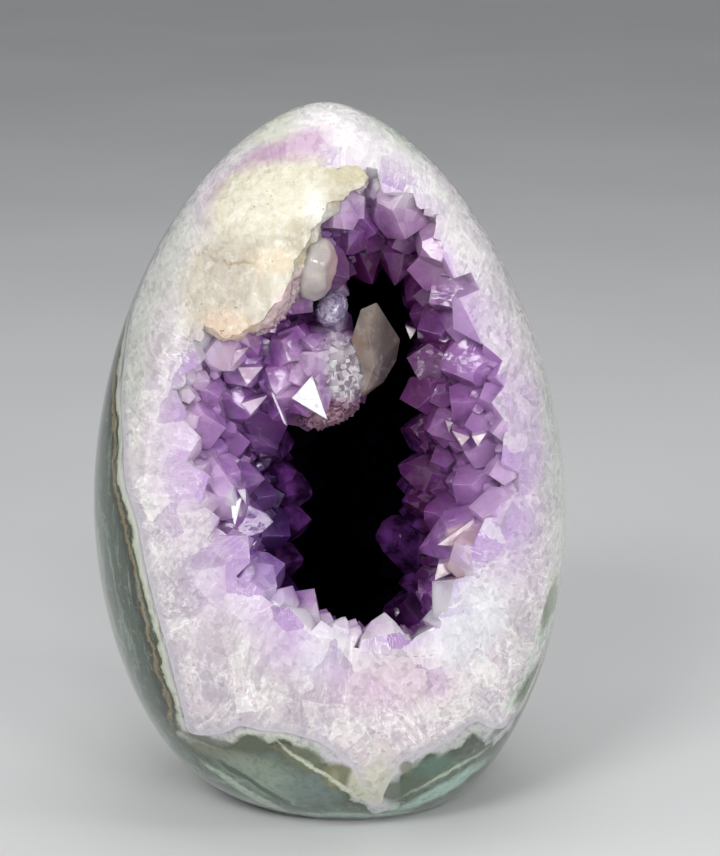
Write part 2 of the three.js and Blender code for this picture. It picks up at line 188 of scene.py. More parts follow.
# Facets that mirror a light: the light, the depth and the corners' x and z
BRIGHT_FACETS = [
    ("key", -27.5, ((-7.3, 94.4), (-3.2, 98.8), (-0.1, 90.9))),
    ("front", -27, ((-21.3, 103.5), (-15.7, 104.7), (-19.8, 100.2))),
    ("front", -26.6, ((-18, 100.6), (-13, 100.6), (-16.2, 97.2))),
    ("fill", -25.5, ((-17.5, 93.2), (-12.2, 94.3), (-15.5, 90.8))),
    ("key", -26.5, ((-11.6, 95.2), (-10.9, 94.8), (-8.2, 89.2), (-8.9, 89.6))),
    ("key", -35.5, ((-19.4, 74.6), (-17, 76.2), (-18.5, 70.6))),
    ("front", -34.5, ((-18, 77.5), (-16.4, 77.7), (-16.2, 74.7))),
    ("front", -25.4, ((18.2, 54), (19.8, 53.6), (18.8, 51.6))),
    ("front", -15.6, ((13.2, 46.5), (14.9, 45.8), (13.9, 44.3))),
    ("fill", -21, ((23.6, 88.3), (25.2, 87.7), (24.4, 85.8))),
    ("fill", -13, ((15.6, 106), (17.8, 105.2), (16.6, 103.4))),
    ("front", -27.5, ((24.7, 87.8), (28.3, 86.5), (26.7, 84.9))),
    ("fill", -28, ((28.7, 86.9), (31.7, 87.4), (29.9, 84.9))),
    ("fill", -30.5, ((21.8, 65.5), (29.4, 70), (30.1, 67), (27.7, 64.7))),
    ("fill", -31.5, ((22, 61.3), (27.5, 61.7), (27.3, 60.2), (21.3, 58.3))),
    ("front", -40, ((14.8, 45.4), (17.5, 48.4), (21, 50), (25.4, 49), (25.6, 43), (20, 40.8), (16, 42))),
]
FACET_DEPTH = 7
FACET_TAPER = 0.75

# Where no other crystal grows: middle and reach
KEPT_CLEAR = [
    ((-2.4, -23, 119.5), 7),
    ((-12, -28, 122), 11),
    ((-20, -30, 116), 11),
    ((8.6, -17, 101), 8),
    ((3, -22, 96), 6),
    ((0.7, -19, 110.8), 5.5),
    ((8, -22, 76), 13),
    ((9, -22, 62), 12),
]

# Calcite: the cluster's outline on the face, the knob and the blade
CLUSTER_EDGE = [
    (-19.6, 136.4), (-13.5, 138.8), (-2.6, 139.5), (6.1, 138.7), (7.3, 136), (-0.2, 133),
    (-3.9, 127.2), (-6.1, 122.3), (-9.6, 115.3), (-13.9, 110.6), (-21, 107.3), (-25, 114.2),
    (-22.9, 122.6), (-20.6, 131.7),
]
CLUSTER_MIDDLE = (-12, 129)
CLUSTER_DEPTH = 9
# Its rings from front to back: scale, depth behind the face, and 1 where it swells backwards too
CLUSTER_RINGS = [(1, -14, 0), (1, 0.3 * CLUSTER_DEPTH, 0), (0.6, 0.85 * CLUSTER_DEPTH, 1)]
CLUSTER_FRONT = 60
# Round growths that swell it: place and reach
CLUSTER_LOBES = [
    (-20, -26, 111, 5.5, 5, 5), (-15, -25.5, 112.5, 5, 5, 4.6), (-12, -24, 117, 5.4, 5, 5),
    (-8.5, -22.5, 121.5, 4.6, 4.4, 5), (-5.5, -20, 127, 4.2, 4.4, 4.8), (-2.5, -18, 132, 4.4, 4, 4),
    (3.5, -16, 137, 4.2, 3.4, 2.6), (-9, -20, 128, 6, 5, 7),
]
CLUSTER_GRAIN = 0.5
CLUSTER_SMOOTHING = (0.5, 4)
CLUSTER_LUMPS = [(5, 2.2), (1.6, 1.1)]
KNOB_CENTRE = (-2.4, -21.5, 119.5)
KNOB_REACH = (3.9, 4.6, 6.2)
KNOB_TILT = 0.25
KNOB_RINGS, KNOB_SIDES = 30, 48
KNOB_EDGES = 0.05
KNOB_EDGES_TURN = 0.5
KNOB_DOME = 0.75
KNOB_LUMPS = [(4, 1.6), (1.5, 0.3)]
BLADE_POINTS = [
    (6.5, -17, 110.5), (9.7, -15, 111.5), (11.1, -15, 108.5), (14.6, -13.5, 103.3),
    (13.8, -14, 99), (11.2, -16, 95), (7.1, -17.5, 92.2), (4, -18, 92.2), (2.6, -18, 97),
    (4.4, -18, 104), (8.2, -20.5, 106), (9.2, -21.5, 99.5), (7.4, -21, 94.5), (8.5, -9, 107),
    (9.5, -8, 98), (5.5, -10, 94),
]
BLADE_WEAR = 0.22
BLADE_WEAR_STEPS = 2
BLADE_SHARPEST = math.radians(12)

# The camera stands where the photograph was taken from
CAMERA_TARGET = (6.34, 0, 81.1)
CAMERA_ELEVATION = math.radians(15)
CAMERA_DISTANCE = 520
CAMERA_LENS = 103.4
SENSOR_WIDTH = 36
NEAREST_SEEN = 0.01

# The studio: its floor's size and greys, the light all round, and the lights' place, size and power
FLOOR_SIZE = 6
FLOOR_GREYS = (217.848, 223.279)
SKY = (0.9, 0.92, 0.95, 1)
SKY_STRENGTH = 0.3
LIGHTS_AIM = (0, 0, 0.075)
LIGHTS = {
    "key": ((-0.4, -0.7, 0.7), (0.3, 0.3), 4),
    "fill": ((0.5, -0.75, 0.35), (0.3, 0.3), 2.6),
    "low": ((-0.3, -0.9, 0.15), (0.15, 0.15), 0.7),
    "side": ((0.75, -0.35, 0.6), (0.15, 0.15), 1.0),
    "front": ((0.1, -0.85, 0.55), (0.15, 0.15), 1.0),
    "top": ((0.05, 0.1, 0.9), (0.6, 0.6), 2),
    "strip": ((-0.75, -0.1, 0.25), (0.1, 0.5), 0.4),
}

SHIFT = Vector(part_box("calcite_blade")[0]) - Vector(np.min(BLADE_POINTS, axis=0)) * MM


# The egg

def egg_half_width(z):
    z = np.clip(z, 0, HEIGHT)
    upper = z > WIDEST_AT
    part = np.where(upper, (z - WIDEST_AT) / (HEIGHT - WIDEST_AT), (WIDEST_AT - z) / LOWER_REACH)
    inner = np.where(upper, CROWN_SHAPE[0], BELLY_SHAPE[0])
    outer = np.where(upper, CROWN_SHAPE[1], BELLY_SHAPE[1])
    full = HALF_WIDTH * np.maximum(0, 1 - part ** inner) ** (1 / outer)
    return full * (1 - FOOT_ROUNDING * np.exp(-z / FOOT_ROUNDING_FADE))


def egg_centre(z):
    rise = (z - WIDEST_AT) / HEIGHT
    return LEAN * rise + LEAN_BEND * rise ** 2 + FOOT_SHIFT * np.exp(-z / FOOT_SHIFT_FADE)


def egg_front_y(x, z):
    width = np.maximum(egg_half_width(z), 1e-6)
    across = np.minimum(1, np.abs(x - egg_centre(z)) / width)
    return -DEPTH_RATIO * width * (1 - across ** SECTION_POWER) ** (1 / SECTION_POWER)


def on_face(x, z):
    """Points of the polished face as rows of x, y and z"""
    x, z = np.broadcast_arrays(np.asarray(x, float), np.asarray(z, float))
    return np.stack([x, egg_front_y(x, z), z], axis=-1)


def egg_shape():
    z = HEIGHT / 2 * (1 - np.cos(np.pi * np.arange(EGG_RINGS) / EGG_RINGS))
    turn = 2 * np.pi * np.arange(EGG_SIDES) / EGG_SIDES
    bulge = [np.sign(f) * np.abs(f) ** (2 / SECTION_POWER) for f in (np.cos(turn), np.sin(turn))]
    width = np.maximum(egg_half_width(z), NARROWEST)[:, None]
    ring = np.stack([
        egg_centre(z)[:, None] + width * bulge[0],
        DEPTH_RATIO * width * bulge[1],
        np.repeat(z[:, None], EGG_SIDES, axis=1),
    ], axis=-1)
    return loft(ring, (float(egg_centre(0)), 0, 0), (float(egg_centre(HEIGHT)), 0, HEIGHT))


# The pocket

def closed_curve(points, t):
    """A smooth closed curve through the points, at each t from 0 to 1"""
    points = np.asarray(points, float)
    place = len(points) * (t % 1)
    k = np.floor(place).astype(int)
    w = (place - k)[:, None]
    p0, p1, p2, p3 = (points[(k + j) % len(points)] for j in (-1, 0, 1, 2))
    d0, d1, d2 = (
        np.maximum(((b - a) ** 2).sum(1) ** 0.25, 1e-9)[:, None]
        for a, b in ((p0, p1), (p1, p2), (p2, p3))
    )
    m1 = ((p1 - p0) / d0 - (p2 - p0) / (d0 + d1) + (p2 - p1) / d1) * d1
    m2 = ((p2 - p1) / d1 - (p3 - p1) / (d1 + d2) + (p3 - p2) / d2) * d1
    square, cube = w ** 2, w ** 3
    return (p1 + m1 * w + (3 * (p2 - p1) - 2 * m1 - m2) * square
            + (2 * (p1 - p2) + m1 + m2) * cube)


def rim_and_throat(turns):
    edge = np.asarray(POCKET_EDGE, float)
    throat_y = THROAT_Y + THROAT_RISE * np.maximum(0, edge[:, 3] - THROAT_RISES_ABOVE)
    throat = np.column_stack([edge[:, 2], throat_y, edge[:, 3]])
    return closed_curve(on_face(edge[:, 0], edge[:, 1]), turns), closed_curve(throat, turns)


def away(points, out, back):
    """Straight out, level, from the upright line through the pocket's middle, and a part back"""
    level = points - [SPINE_X, 0, 0]
    level[:, 1] = 0
    level[:, 2] = points[:, 2] - np.clip(points[:, 2], SPINE_LOW, SPINE_HIGH)
    level /= np.linalg.norm(level, axis=1)[:, None]
    return level * out + [0, back, 0]


def pocket_points(turns, depth, grow):
    """A ring of the pocket. Depth 0 is the polished face, 1 the throat, 2 the chamber, 3 its back."""
    rim, throat = rim_and_throat(turns)
    outside = away(throat, grow, 0)
    if depth <= 1:
        share = max(0, depth)
        offset = (1 - share) * away(rim, SLANT * grow, SLANT * grow) + share * outside
        return rim + (throat - rim) * depth + offset
    chamber = throat + away(throat, CHAMBER_BULGE + grow, 0)
    chamber[:, 1] = CHAMBER_Y
    if depth <= 2:
        return throat + outside + (chamber - throat - outside) * (depth - 1)
    back = throat + away(throat, BACK_BULGE + SLANT * grow, 0)
    back[:, 1] = BACK_Y + SLANT * grow
    if depth <= 3:
        return chamber + (back - chamber) * (depth - 2)
    end = np.array(POCKET_END) + [0, grow, 0]
    return back + (end - back) * (depth - 3)


def pocket_shape(grow):
    turns = np.arange(POCKET_SIDES) / POCKET_SIDES
    rings = np.array([pocket_points(turns, depth, grow) for depth in POCKET_DEPTHS])
    x, y, z = POCKET_END
    return loft(rings, MOUTH_FRONT, (x, y + grow, z))


# Meshes

def loft(rings, start, end):
    """Corners and faces of a closed skin over rings, with a point at each end. The rings run
    clockwise as seen from the start point, or the faces are turned round."""
    count, sides = rings.shape[:2]
    corners = np.vstack([[start], rings.reshape(-1, 3), [end]])
    at = 1 + np.arange(count * sides).reshape(count, sides)
    after = np.roll(at, -1, axis=1)
    faces = [(0, b, a) for a, b in zip(at[0], after[0])]
    faces += [(len(corners) - 1, a, b) for a, b in zip(at[-1], after[-1])]
    for r in range(count - 1):
        faces += list(zip(at[r], after[r], after[r + 1], at[r + 1]))
    return corners, faces


def object_of(name, shell, mesh=None):
    """The shell as an object of the scene. The shell itself is used up."""
    mesh = mesh or bpy.data.meshes.new(name)
    shell.to_mesh(mesh)
    shell.free()
    piece = bpy.data.objects.new(name, mesh)
    bpy.context.scene.collection.objects.link(piece)
    return piece


def plain_lists(corners, faces):
    return [tuple(map(float, c)) for c in corners], [tuple(map(int, f)) for f in faces]


def new_object(name, corners, faces):
    """An object of corners and faces, turned so that the faces look outwards"""
    corners, faces = plain_lists(corners, faces)
    mesh = bpy.data.meshes.new(name)
    mesh.from_pydata(corners, [], faces)
    shell = bmesh.new()
    shell.from_mesh(mesh)
    if shell.calc_volume(signed=True) < 0:
        bmesh.ops.reverse_faces(shell, faces=shell.faces)
    return object_of(name, shell, mesh)


def settle(piece):
    """Turns the piece's modifiers into plain mesh"""
    shown = piece.evaluated_get(bpy.context.evaluated_depsgraph_get())
    mesh = bpy.data.meshes.new_from_object(shown)
    piece.modifiers.clear()
    old = piece.data
    piece.data = mesh
    bpy.data.meshes.remove(old)


def combine(piece, tool, operation, keep_tool=False):
    """The piece joined with, cut by or kept inside the tool: UNION, DIFFERENCE or INTERSECT"""
    change = piece.modifiers.new("change", "BOOLEAN")
    change.operation = operation
    change.solver = "MANIFOLD"
    change.object = tool
    settle(piece)
    if not keep_tool:
        bpy.data.objects.remove(tool)


def corners_of(piece):
    found = np.empty(3 * len(piece.data.vertices))
    piece.data.vertices.foreach_get("co", found)
    return found.reshape(-1, 3)


def set_attribute(piece, name, values, domain="POINT"):
    layer = piece.data.attributes.new(name, "FLOAT", domain)
    layer.data.foreach_set("value", np.asarray(values, np.float32))


def to_frame(piece, sharp_angle):
    piece.data.transform(Matrix.Translation(SHIFT) @ Matrix.Scale(MM, 4))
    piece.data.shade_smooth()
    piece.data.set_sharp_from_angle(angle=math.radians(sharp_angle))


def lumpy(piece, size, strength):
    """Adds lumps of a size and height to a piece"""
    clouds = bpy.data.textures.new("lumps", "CLOUDS")
    clouds.noise_scale = size
    clouds.noise_depth = 2
    lumps = piece.modifiers.new("lumps", "DISPLACE")
    lumps.texture = clouds
    lumps.strength = strength
    lumps.mid_level = 0.5


def largest_piece(piece):
    """Leaves only the part with the most corners"""
    shell = bmesh.new()
    shell.from_mesh(piece.data)
    left, groups = set(shell.verts), []
    while left:
        edge, group = [left.pop()], []
        while edge:
            here = edge.pop()
            group.append(here)
            around = {link.other_vert(here) for link in here.link_edges} & left
            left -= around
            edge += around
        groups.append(group)
    groups.sort(key=len)
    for group in groups[:-1]:
        bmesh.ops.delete(shell, geom=group, context="VERTS")
    shell.to_mesh(piece.data)
    shell.free()


# Crystals

def corners_between(normals, offsets):
    """Corners of the convex solid behind the planes"""
    triples = np.array(list(combinations(range(len(normals)), 3)))
    sides = normals[triples]
    clear = np.abs(np.linalg.det(sides)) > PARALLEL
    found = np.linalg.solve(sides[clear], offsets[triples][clear][..., None])[..., 0]
    found = found[(found @ normals.T <= offsets + ON_PLANE).all(axis=1)]
    corners = []
    for point in found:
        if all(np.abs(point - other).max() > SHORTEST_EDGE for other in corners):
            corners.append(point)
    return np.array(corners)


def unit(vectors):
    return vectors / np.linalg.norm(vectors, axis=-1, keepdims=True)


def crystal(tip, axis, radius, length, chance):
    """A quartz point: a six-sided prism whose end has three large faces and three small ones"""
    turn = chance.uniform(0, 2 * math.pi) + np.arange(6) * math.pi / 3
    level = np.column_stack([np.cos(turn), np.sin(turn), np.zeros(6)])
    slanted = level * math.sin(FACE_TILT) + [0, 0, math.cos(FACE_TILT)]
    slanted = unit(slanted + chance.normal(0, FACE_WANDER, slanted.shape))
    normals = np.vstack([level, slanted, [[0, 0, -1]]])
    small = radius * np.where(np.arange(6) % 2, chance.uniform(*SMALL_FACES), 0)
    offsets = np.concatenate([
        radius * chance.uniform(*PRISM_FACES, 6),
        small + radius * chance.uniform(*END_FACES, 6),
        [length],
    ])
    up = Vector((0, 0, 1)).rotation_difference(Vector(axis)).to_matrix()
    return corners_between(normals, offsets) @ np.array(up).T + tip


def bed_spots():
    """Many places on the crystal bed, the way out of the stone there, and how much area each has"""
    turn = np.arange(BED_TURNS) / BED_TURNS
    depths = np.linspace(*BED_DEPTHS, BED_RINGS)
    bed = np.array([pocket_points(turn, d, CRYSTAL_REACH) for d in depths])
    tips = np.array([pocket_points(turn, d, 0) for d in depths])
    along = np.roll(tips, -1, axis=1) - np.roll(tips, 1, axis=1)
    inward = np.gradient(tips, axis=0)
    bed_inward = np.gradient(bed, axis=0)
    bed_along = np.roll(bed, -1, axis=1) - np.roll(bed, 1, axis=1)
    area = np.linalg.norm(np.cross(bed_along, bed_inward), axis=-1)
    out = -unit(np.cross(along, inward))
    keep = np.isfinite(out).all(axis=-1)
    return bed[keep], out[keep], area[keep]


def is_clear(tip):
    return all(np.linalg.norm(tip - middle) > reach for middle, reach in KEPT_CLEAR)


def filling_crystals(taken):
    """Crystals all over the bed, the largest first, where the ones before leave room"""
    spots, ways, area = bed_spots()
    chance = np.random.RandomState(SEED + 1)
    share = np.cumsum(area) / area.sum()
    tips = np.array([c[:3] for c in taken], float)
    radii = np.array([c[6] for c in taken], float)
    made = []
    for (low, high), crowding, tries in CRYSTAL_SIZES:
        picks = np.searchsorted(share, chance.uniform(0, 1, tries))
        for pick in picks:
            radius = chance.uniform(low, high)
            axis = unit(ways[pick] + CRYSTAL_LEAN * chance.uniform(-1, 1, 3))
            reach = CRYSTAL_REACH * chance.uniform(*REACH_VARIETY)
            reach += REACH_PER_RADIUS * (radius - USUAL_RADIUS)
            tip = spots[pick] + axis * reach
            near = np.linalg.norm(tips - tip, axis=1)
            if (near < crowding * (radii + radius)).any() or not is_clear(tip):
                continue
            tips = np.vstack([tips, tip])
            radii = np.append(radii, radius)
            made.append((tip, axis, radius, reach + ROOT_DEPTH))
    return made


def named_crystals():
    made = []
    for row in NAMED_CRYSTALS:
        tip, root = np.array(row[:3], float), np.array(row[3:6], float)
        length = np.linalg.norm(tip - root)
        made.append((tip, (tip - root) / length, row[6], length + ROOT_DEPTH))
    return made


def turned_ball(middle, reach, turn):
    """How a ball of radius 1 is stretched, turned and moved into place"""
    return Matrix.Translation(middle) @ Matrix.Rotation(turn, 4, "Y") @ Matrix.Diagonal((*reach, 1))


def crystals_on_ball(place, count, radii, reach, chance, wrap=0.0):
    """Crystals spread evenly over the front of a stretched ball, and wrapped a part round its back"""
    golden = math.pi * (3 - math.sqrt(5))
    outward = place.inverted().transposed().to_3x3()
    made = []
    for k in range(count):
        forward = 1 - (1 + wrap) * (k + 0.5) / count
        side = math.sqrt(1 - forward ** 2)
        out = Vector((side * math.cos(golden * k), -forward, side * math.sin(golden * k)))
        axis = unit(unit(np.array(outward @ out)) + BALL_LEAN * chance.uniform(-1, 1, 3))
        radius = chance.uniform(*radii)
        length = radius * chance.uniform(*reach)
        made.append((np.array(place @ out) + axis * length, axis, radius, length + radius))
    return made


def ball_object(name, place):
    ball = bmesh.new()
    bmesh.ops.create_uvsphere(ball, u_segments=BALL_SIDES, v_segments=BALL_RINGS, radius=1)
    ball.transform(place)
    return object_of(name, ball)


def separate_groups(crystals):
    """The crystals in a few groups, in each of which none touches another"""
    steps = np.linspace(0, 1, SPINE_POINTS)[:, None]
    spines = np.array([tip - axis * length * steps for tip, axis, _, length in crystals])
    radii = np.array([radius for _, _, radius, _ in crystals])
    share, clear = GROUP_GAP
    groups = []
    for k in range(len(crystals)):
        for group in groups:
            gaps = np.linalg.norm(spines[k][None, :, None] - spines[group][:, None], axis=-1)
            if (gaps.min(axis=(1, 2)) > share * (radii[k] + radii[group]) + clear).all():
                group.append(k)
                break
        else:
            groups.append([k])
    return [[crystals[k] for k in group] for group in groups]


def hulls(name, shapes):
    """One object of closed shapes, each the hull of its corners"""
    shell = bmesh.new()
    for corners in shapes:
        made = [shell.verts.new(corner) for corner in corners]
        bmesh.ops.convex_hull(shell, input=made)
        spare = [corner for corner in made if not corner.link_faces]
        bmesh.ops.delete(shell, geom=spare, context="VERTS")
    bmesh.ops.recalc_face_normals(shell, faces=shell.faces)
    return object_of(name, shell)


# Calcite

def offset_outline(outline, distance):
    """A closed outline, clockwise, moved outwards"""
    outline = np.asarray(outline, float)
    before, after = np.roll(outline, 1, axis=0), np.roll(outline, -1, axis=0)
    arriving, leaving = unit(outline - before), unit(after - outline)
    out = np.column_stack([-arriving[:, 1], arriving[:, 0]])
    out = out + np.column_stack([-leaving[:, 1], leaving[:, 0]])
    return outline + out * (2 * distance / (out ** 2).sum(axis=1))[:, None]


def cluster_shape(grow):
    middle = np.array(CLUSTER_MIDDLE, float)
    rings = []
    for scale, behind, swells in CLUSTER_RINGS:
        outline = middle + scale * (np.array(CLUSTER_EDGE) - middle)
        edge = offset_outline(outline, grow)
        y = egg_front_y(outline[:, 0], outline[:, 1]) + (behind + swells * grow)
        rings.append(np.column_stack([edge[:, 0], y, edge[:, 1]]))
    deepest = float(egg_front_y(*middle)) + CLUSTER_DEPTH + grow
    outside = (middle[0], deepest - CLUSTER_FRONT, middle[1])
    return loft(np.array(rings), outside, (middle[0], deepest, middle[1]))


def cluster_skin(name, grow):
    """The lumpy calcite, swollen by grow"""
    skin = new_object(name, *cluster_shape(0))
    for x, y, z, *reach in CLUSTER_LOBES:
        combine(skin, ball_object("lobe", turned_ball((x, y, z), reach, 0)), "UNION")
    grain = skin.modifiers.new("grain", "REMESH")
    grain.mode = "VOXEL"
    grain.voxel_size = CLUSTER_GRAIN
    evened = skin.modifiers.new("evened", "SMOOTH")
    evened.factor, evened.iterations = CLUSTER_SMOOTHING
    for size, strength in CLUSTER_LUMPS:
        lumpy(skin, size, strength)
    swollen = skin.modifiers.new("swollen", "DISPLACE")
    swollen.strength = grow
    swollen.mid_level = 0
    settle(skin)
    return skin


# Knob and blade

def knob_shape():
    """A rounded six-sided prism with a domed end"""
    up = math.pi * (np.arange(KNOB_RINGS) + 0.5) / KNOB_RINGS
    turn = 2 * math.pi * np.arange(KNOB_SIDES) / KNOB_SIDES
    corner = 1 + KNOB_EDGES * np.cos(6 * turn + KNOB_EDGES_TURN)
    level = np.sin(up)[:, None] ** KNOB_DOME
    skin = np.stack([
        level * (corner * np.cos(turn)),
        level * (corner * np.sin(turn)),
        np.repeat(np.cos(up)[:, None], KNOB_SIDES, axis=1),
    ], axis=-1)
    place = turned_ball(KNOB_CENTRE, KNOB_REACH, KNOB_TILT)
    corners, faces = loft(skin, (0, 0, 1), (0, 0, -1))
    return [place @ Vector(corner) for corner in corners], faces


def build_knob():
    knob = new_object("grey_knob", *knob_shape())
    for size, strength in KNOB_LUMPS:
        lumpy(knob, size, strength)
    settle(knob)
    return knob


def build_blade():
    blade = hulls("tan_blade", [BLADE_POINTS])
    bevel = blade.modifiers.new("worn edges", "BEVEL")
    bevel.width = BLADE_WEAR
    bevel.segments = BLADE_WEAR_STEPS
    bevel.limit_method = "ANGLE"
    bevel.angle_limit = BLADE_SHARPEST
    settle(blade)
    return blade


# Build

def build_wall():
    wall = new_object("geode_rind", *egg_shape())
    combine(wall, new_object("pocket", *pocket_shape(CRYSTAL_REACH + BED + SEAM)), "DIFFERENCE")
    combine(wall, cluster_skin("cluster", SEAM), "DIFFERENCE")
    largest_piece(wall)
    return wall


def mirroring(light, place):
    """The way a facet at a place has to face to mirror a light into the camera"""
    here = Vector(place) * MM + SHIFT
    to_light = (Vector(LIGHTS[light][0]) - here).normalized()
    return (to_light + (camera_place() - here).normalized()).normalized()


def facet_crystals():
    """Shapes that each have one large facet in view, and taper back into the stone"""
    shapes = []
    for light, depth, outline in BRIGHT_FACETS:
        outline = np.array(outline)
        x, z = outline.mean(axis=0)
        way = mirroring(light, (x, depth, z))
        lean = ((outline[:, 0] - x) * way.x + (outline[:, 1] - z) * way.z) / way.y
        corners = np.column_stack([outline[:, 0], depth - lean, outline[:, 1]])
        middle = corners.mean(axis=0)
        behind = middle + FACET_TAPER * (corners - middle) + [0, FACET_DEPTH, 0]
        shapes.append(np.vstack([corners, behind]))
    return shapes


def build_crust(egg):
    chance = np.random.RandomState(SEED + 2)
    crystals = named_crystals() + filling_crystals(NAMED_CRYSTALS)
    shelf = turned_ball(SHELF_CENTRE, SHELF_REACH, -SHELF_TILT)
    on_shelf = crystals_on_ball(shelf, *SHELF_CRYSTALS, chance)
    crystals += [one for one in on_shelf if is_clear(one[0])]
    crust = new_object("amethyst_crystals", *pocket_shape(CRYSTAL_REACH + BED))
    combine(crust, new_object("pocket", *pocket_shape(CRYSTAL_REACH)), "DIFFERENCE")
    combine(crust, ball_object("shelf", shelf), "UNION")
    for middle, reach, turn, count, radii, heights in DRUSES:
        place = turned_ball(middle, reach, turn)
        combine(crust, ball_object("druse", place), "UNION")
        crystals += crystals_on_ball(place, count, radii, heights, chance, DRUSE_WRAP)
    for group in separate_groups(crystals):
        combine(crust, hulls("points", [crystal(*one, chance) for one in group]), "UNION")
    for corners in facet_crystals():
        combine(crust, hulls("facet", [corners]), "UNION")
    combine(crust, new_object("pocket", *pocket_shape(CRYSTAL_REACH + BED)), "INTERSECT")
    combine(crust, egg, "INTERSECT", keep_tool=True)
    combine(crust, cluster_skin("cluster", SEAM), "DIFFERENCE")
    largest_piece(crust)
    return crust


def build_cluster(egg):
    cluster = cluster_skin("cream_calcite", 0)
    combine(cluster, egg, "INTERSECT", keep_tool=True)
    largest_piece(cluster)
    return cluster


def distance_to(shape, points):
    tree = BVHTree.FromPolygons(*plain_lists(*shape))
    return np.array([tree.find_nearest(Vector(p))[3] for p in points])


def inside_outline(outline, x, z):
    """Whether each point lies inside a closed outline"""
    outline = np.asarray(outline, float)
    inside = np.zeros(len(x), bool)
    for (x0, z0), (x1, z1) in zip(outline, np.roll(outline, -1, axis=0)):
        crosses = (z0 > z) != (z1 > z)
        with np.errstate(divide="ignore", invalid="ignore"):
            meets = x0 + (z - z0) * (x1 - x0) / (z1 - z0)
        inside ^= crosses & (x < meets)
    return inside


def rind_distance(points):
    """How far into the green rind each point of the surface lies, less than 0 in the quartz"""
    outline = closed_curve(RIND_EDGE, np.arange(EDGE_POINTS) / EDGE_POINTS)
    edge = on_face(outline[:, 0], outline[:, 1])
    found = np.array([np.sqrt(((edge - p) ** 2).sum(axis=1).min()) for p in points])
    x, y, z = points.T
    back = BACK_LIMIT + sum(wave * np.sin(z / up + x / across) for wave, up, across in BACK_WAVES)
    return np.maximum(np.where(inside_outline(outline, x, z), -found, found), y - back)


def depth_below(points):
    """How far behind the polished face each point lies, and 0 all over the outside"""
    behind = points[:, 1] - egg_front_y(points[:, 0], points[:, 2])
    return np.minimum(behind, DEPTH_FROM_OUTSIDE * distance_to(egg_shape(), points))


def facet_values(piece):
    """A number from 0 to 1 for each flat face, the same all over it"""
    flat = np.empty(3 * len(piece.data.polygons))
    piece.data.polygons.foreach_get("normal", flat)
    return np.abs(np.sin(np.round(flat.reshape(-1, 3), 2) @ FACET_MIX)) * FACET_SPREAD % 1


# Materials

# The places of colour A, colour B and the result among the sockets of a mixing node
MIX_A, MIX_B, MIX_RESULT = 6, 7, 2


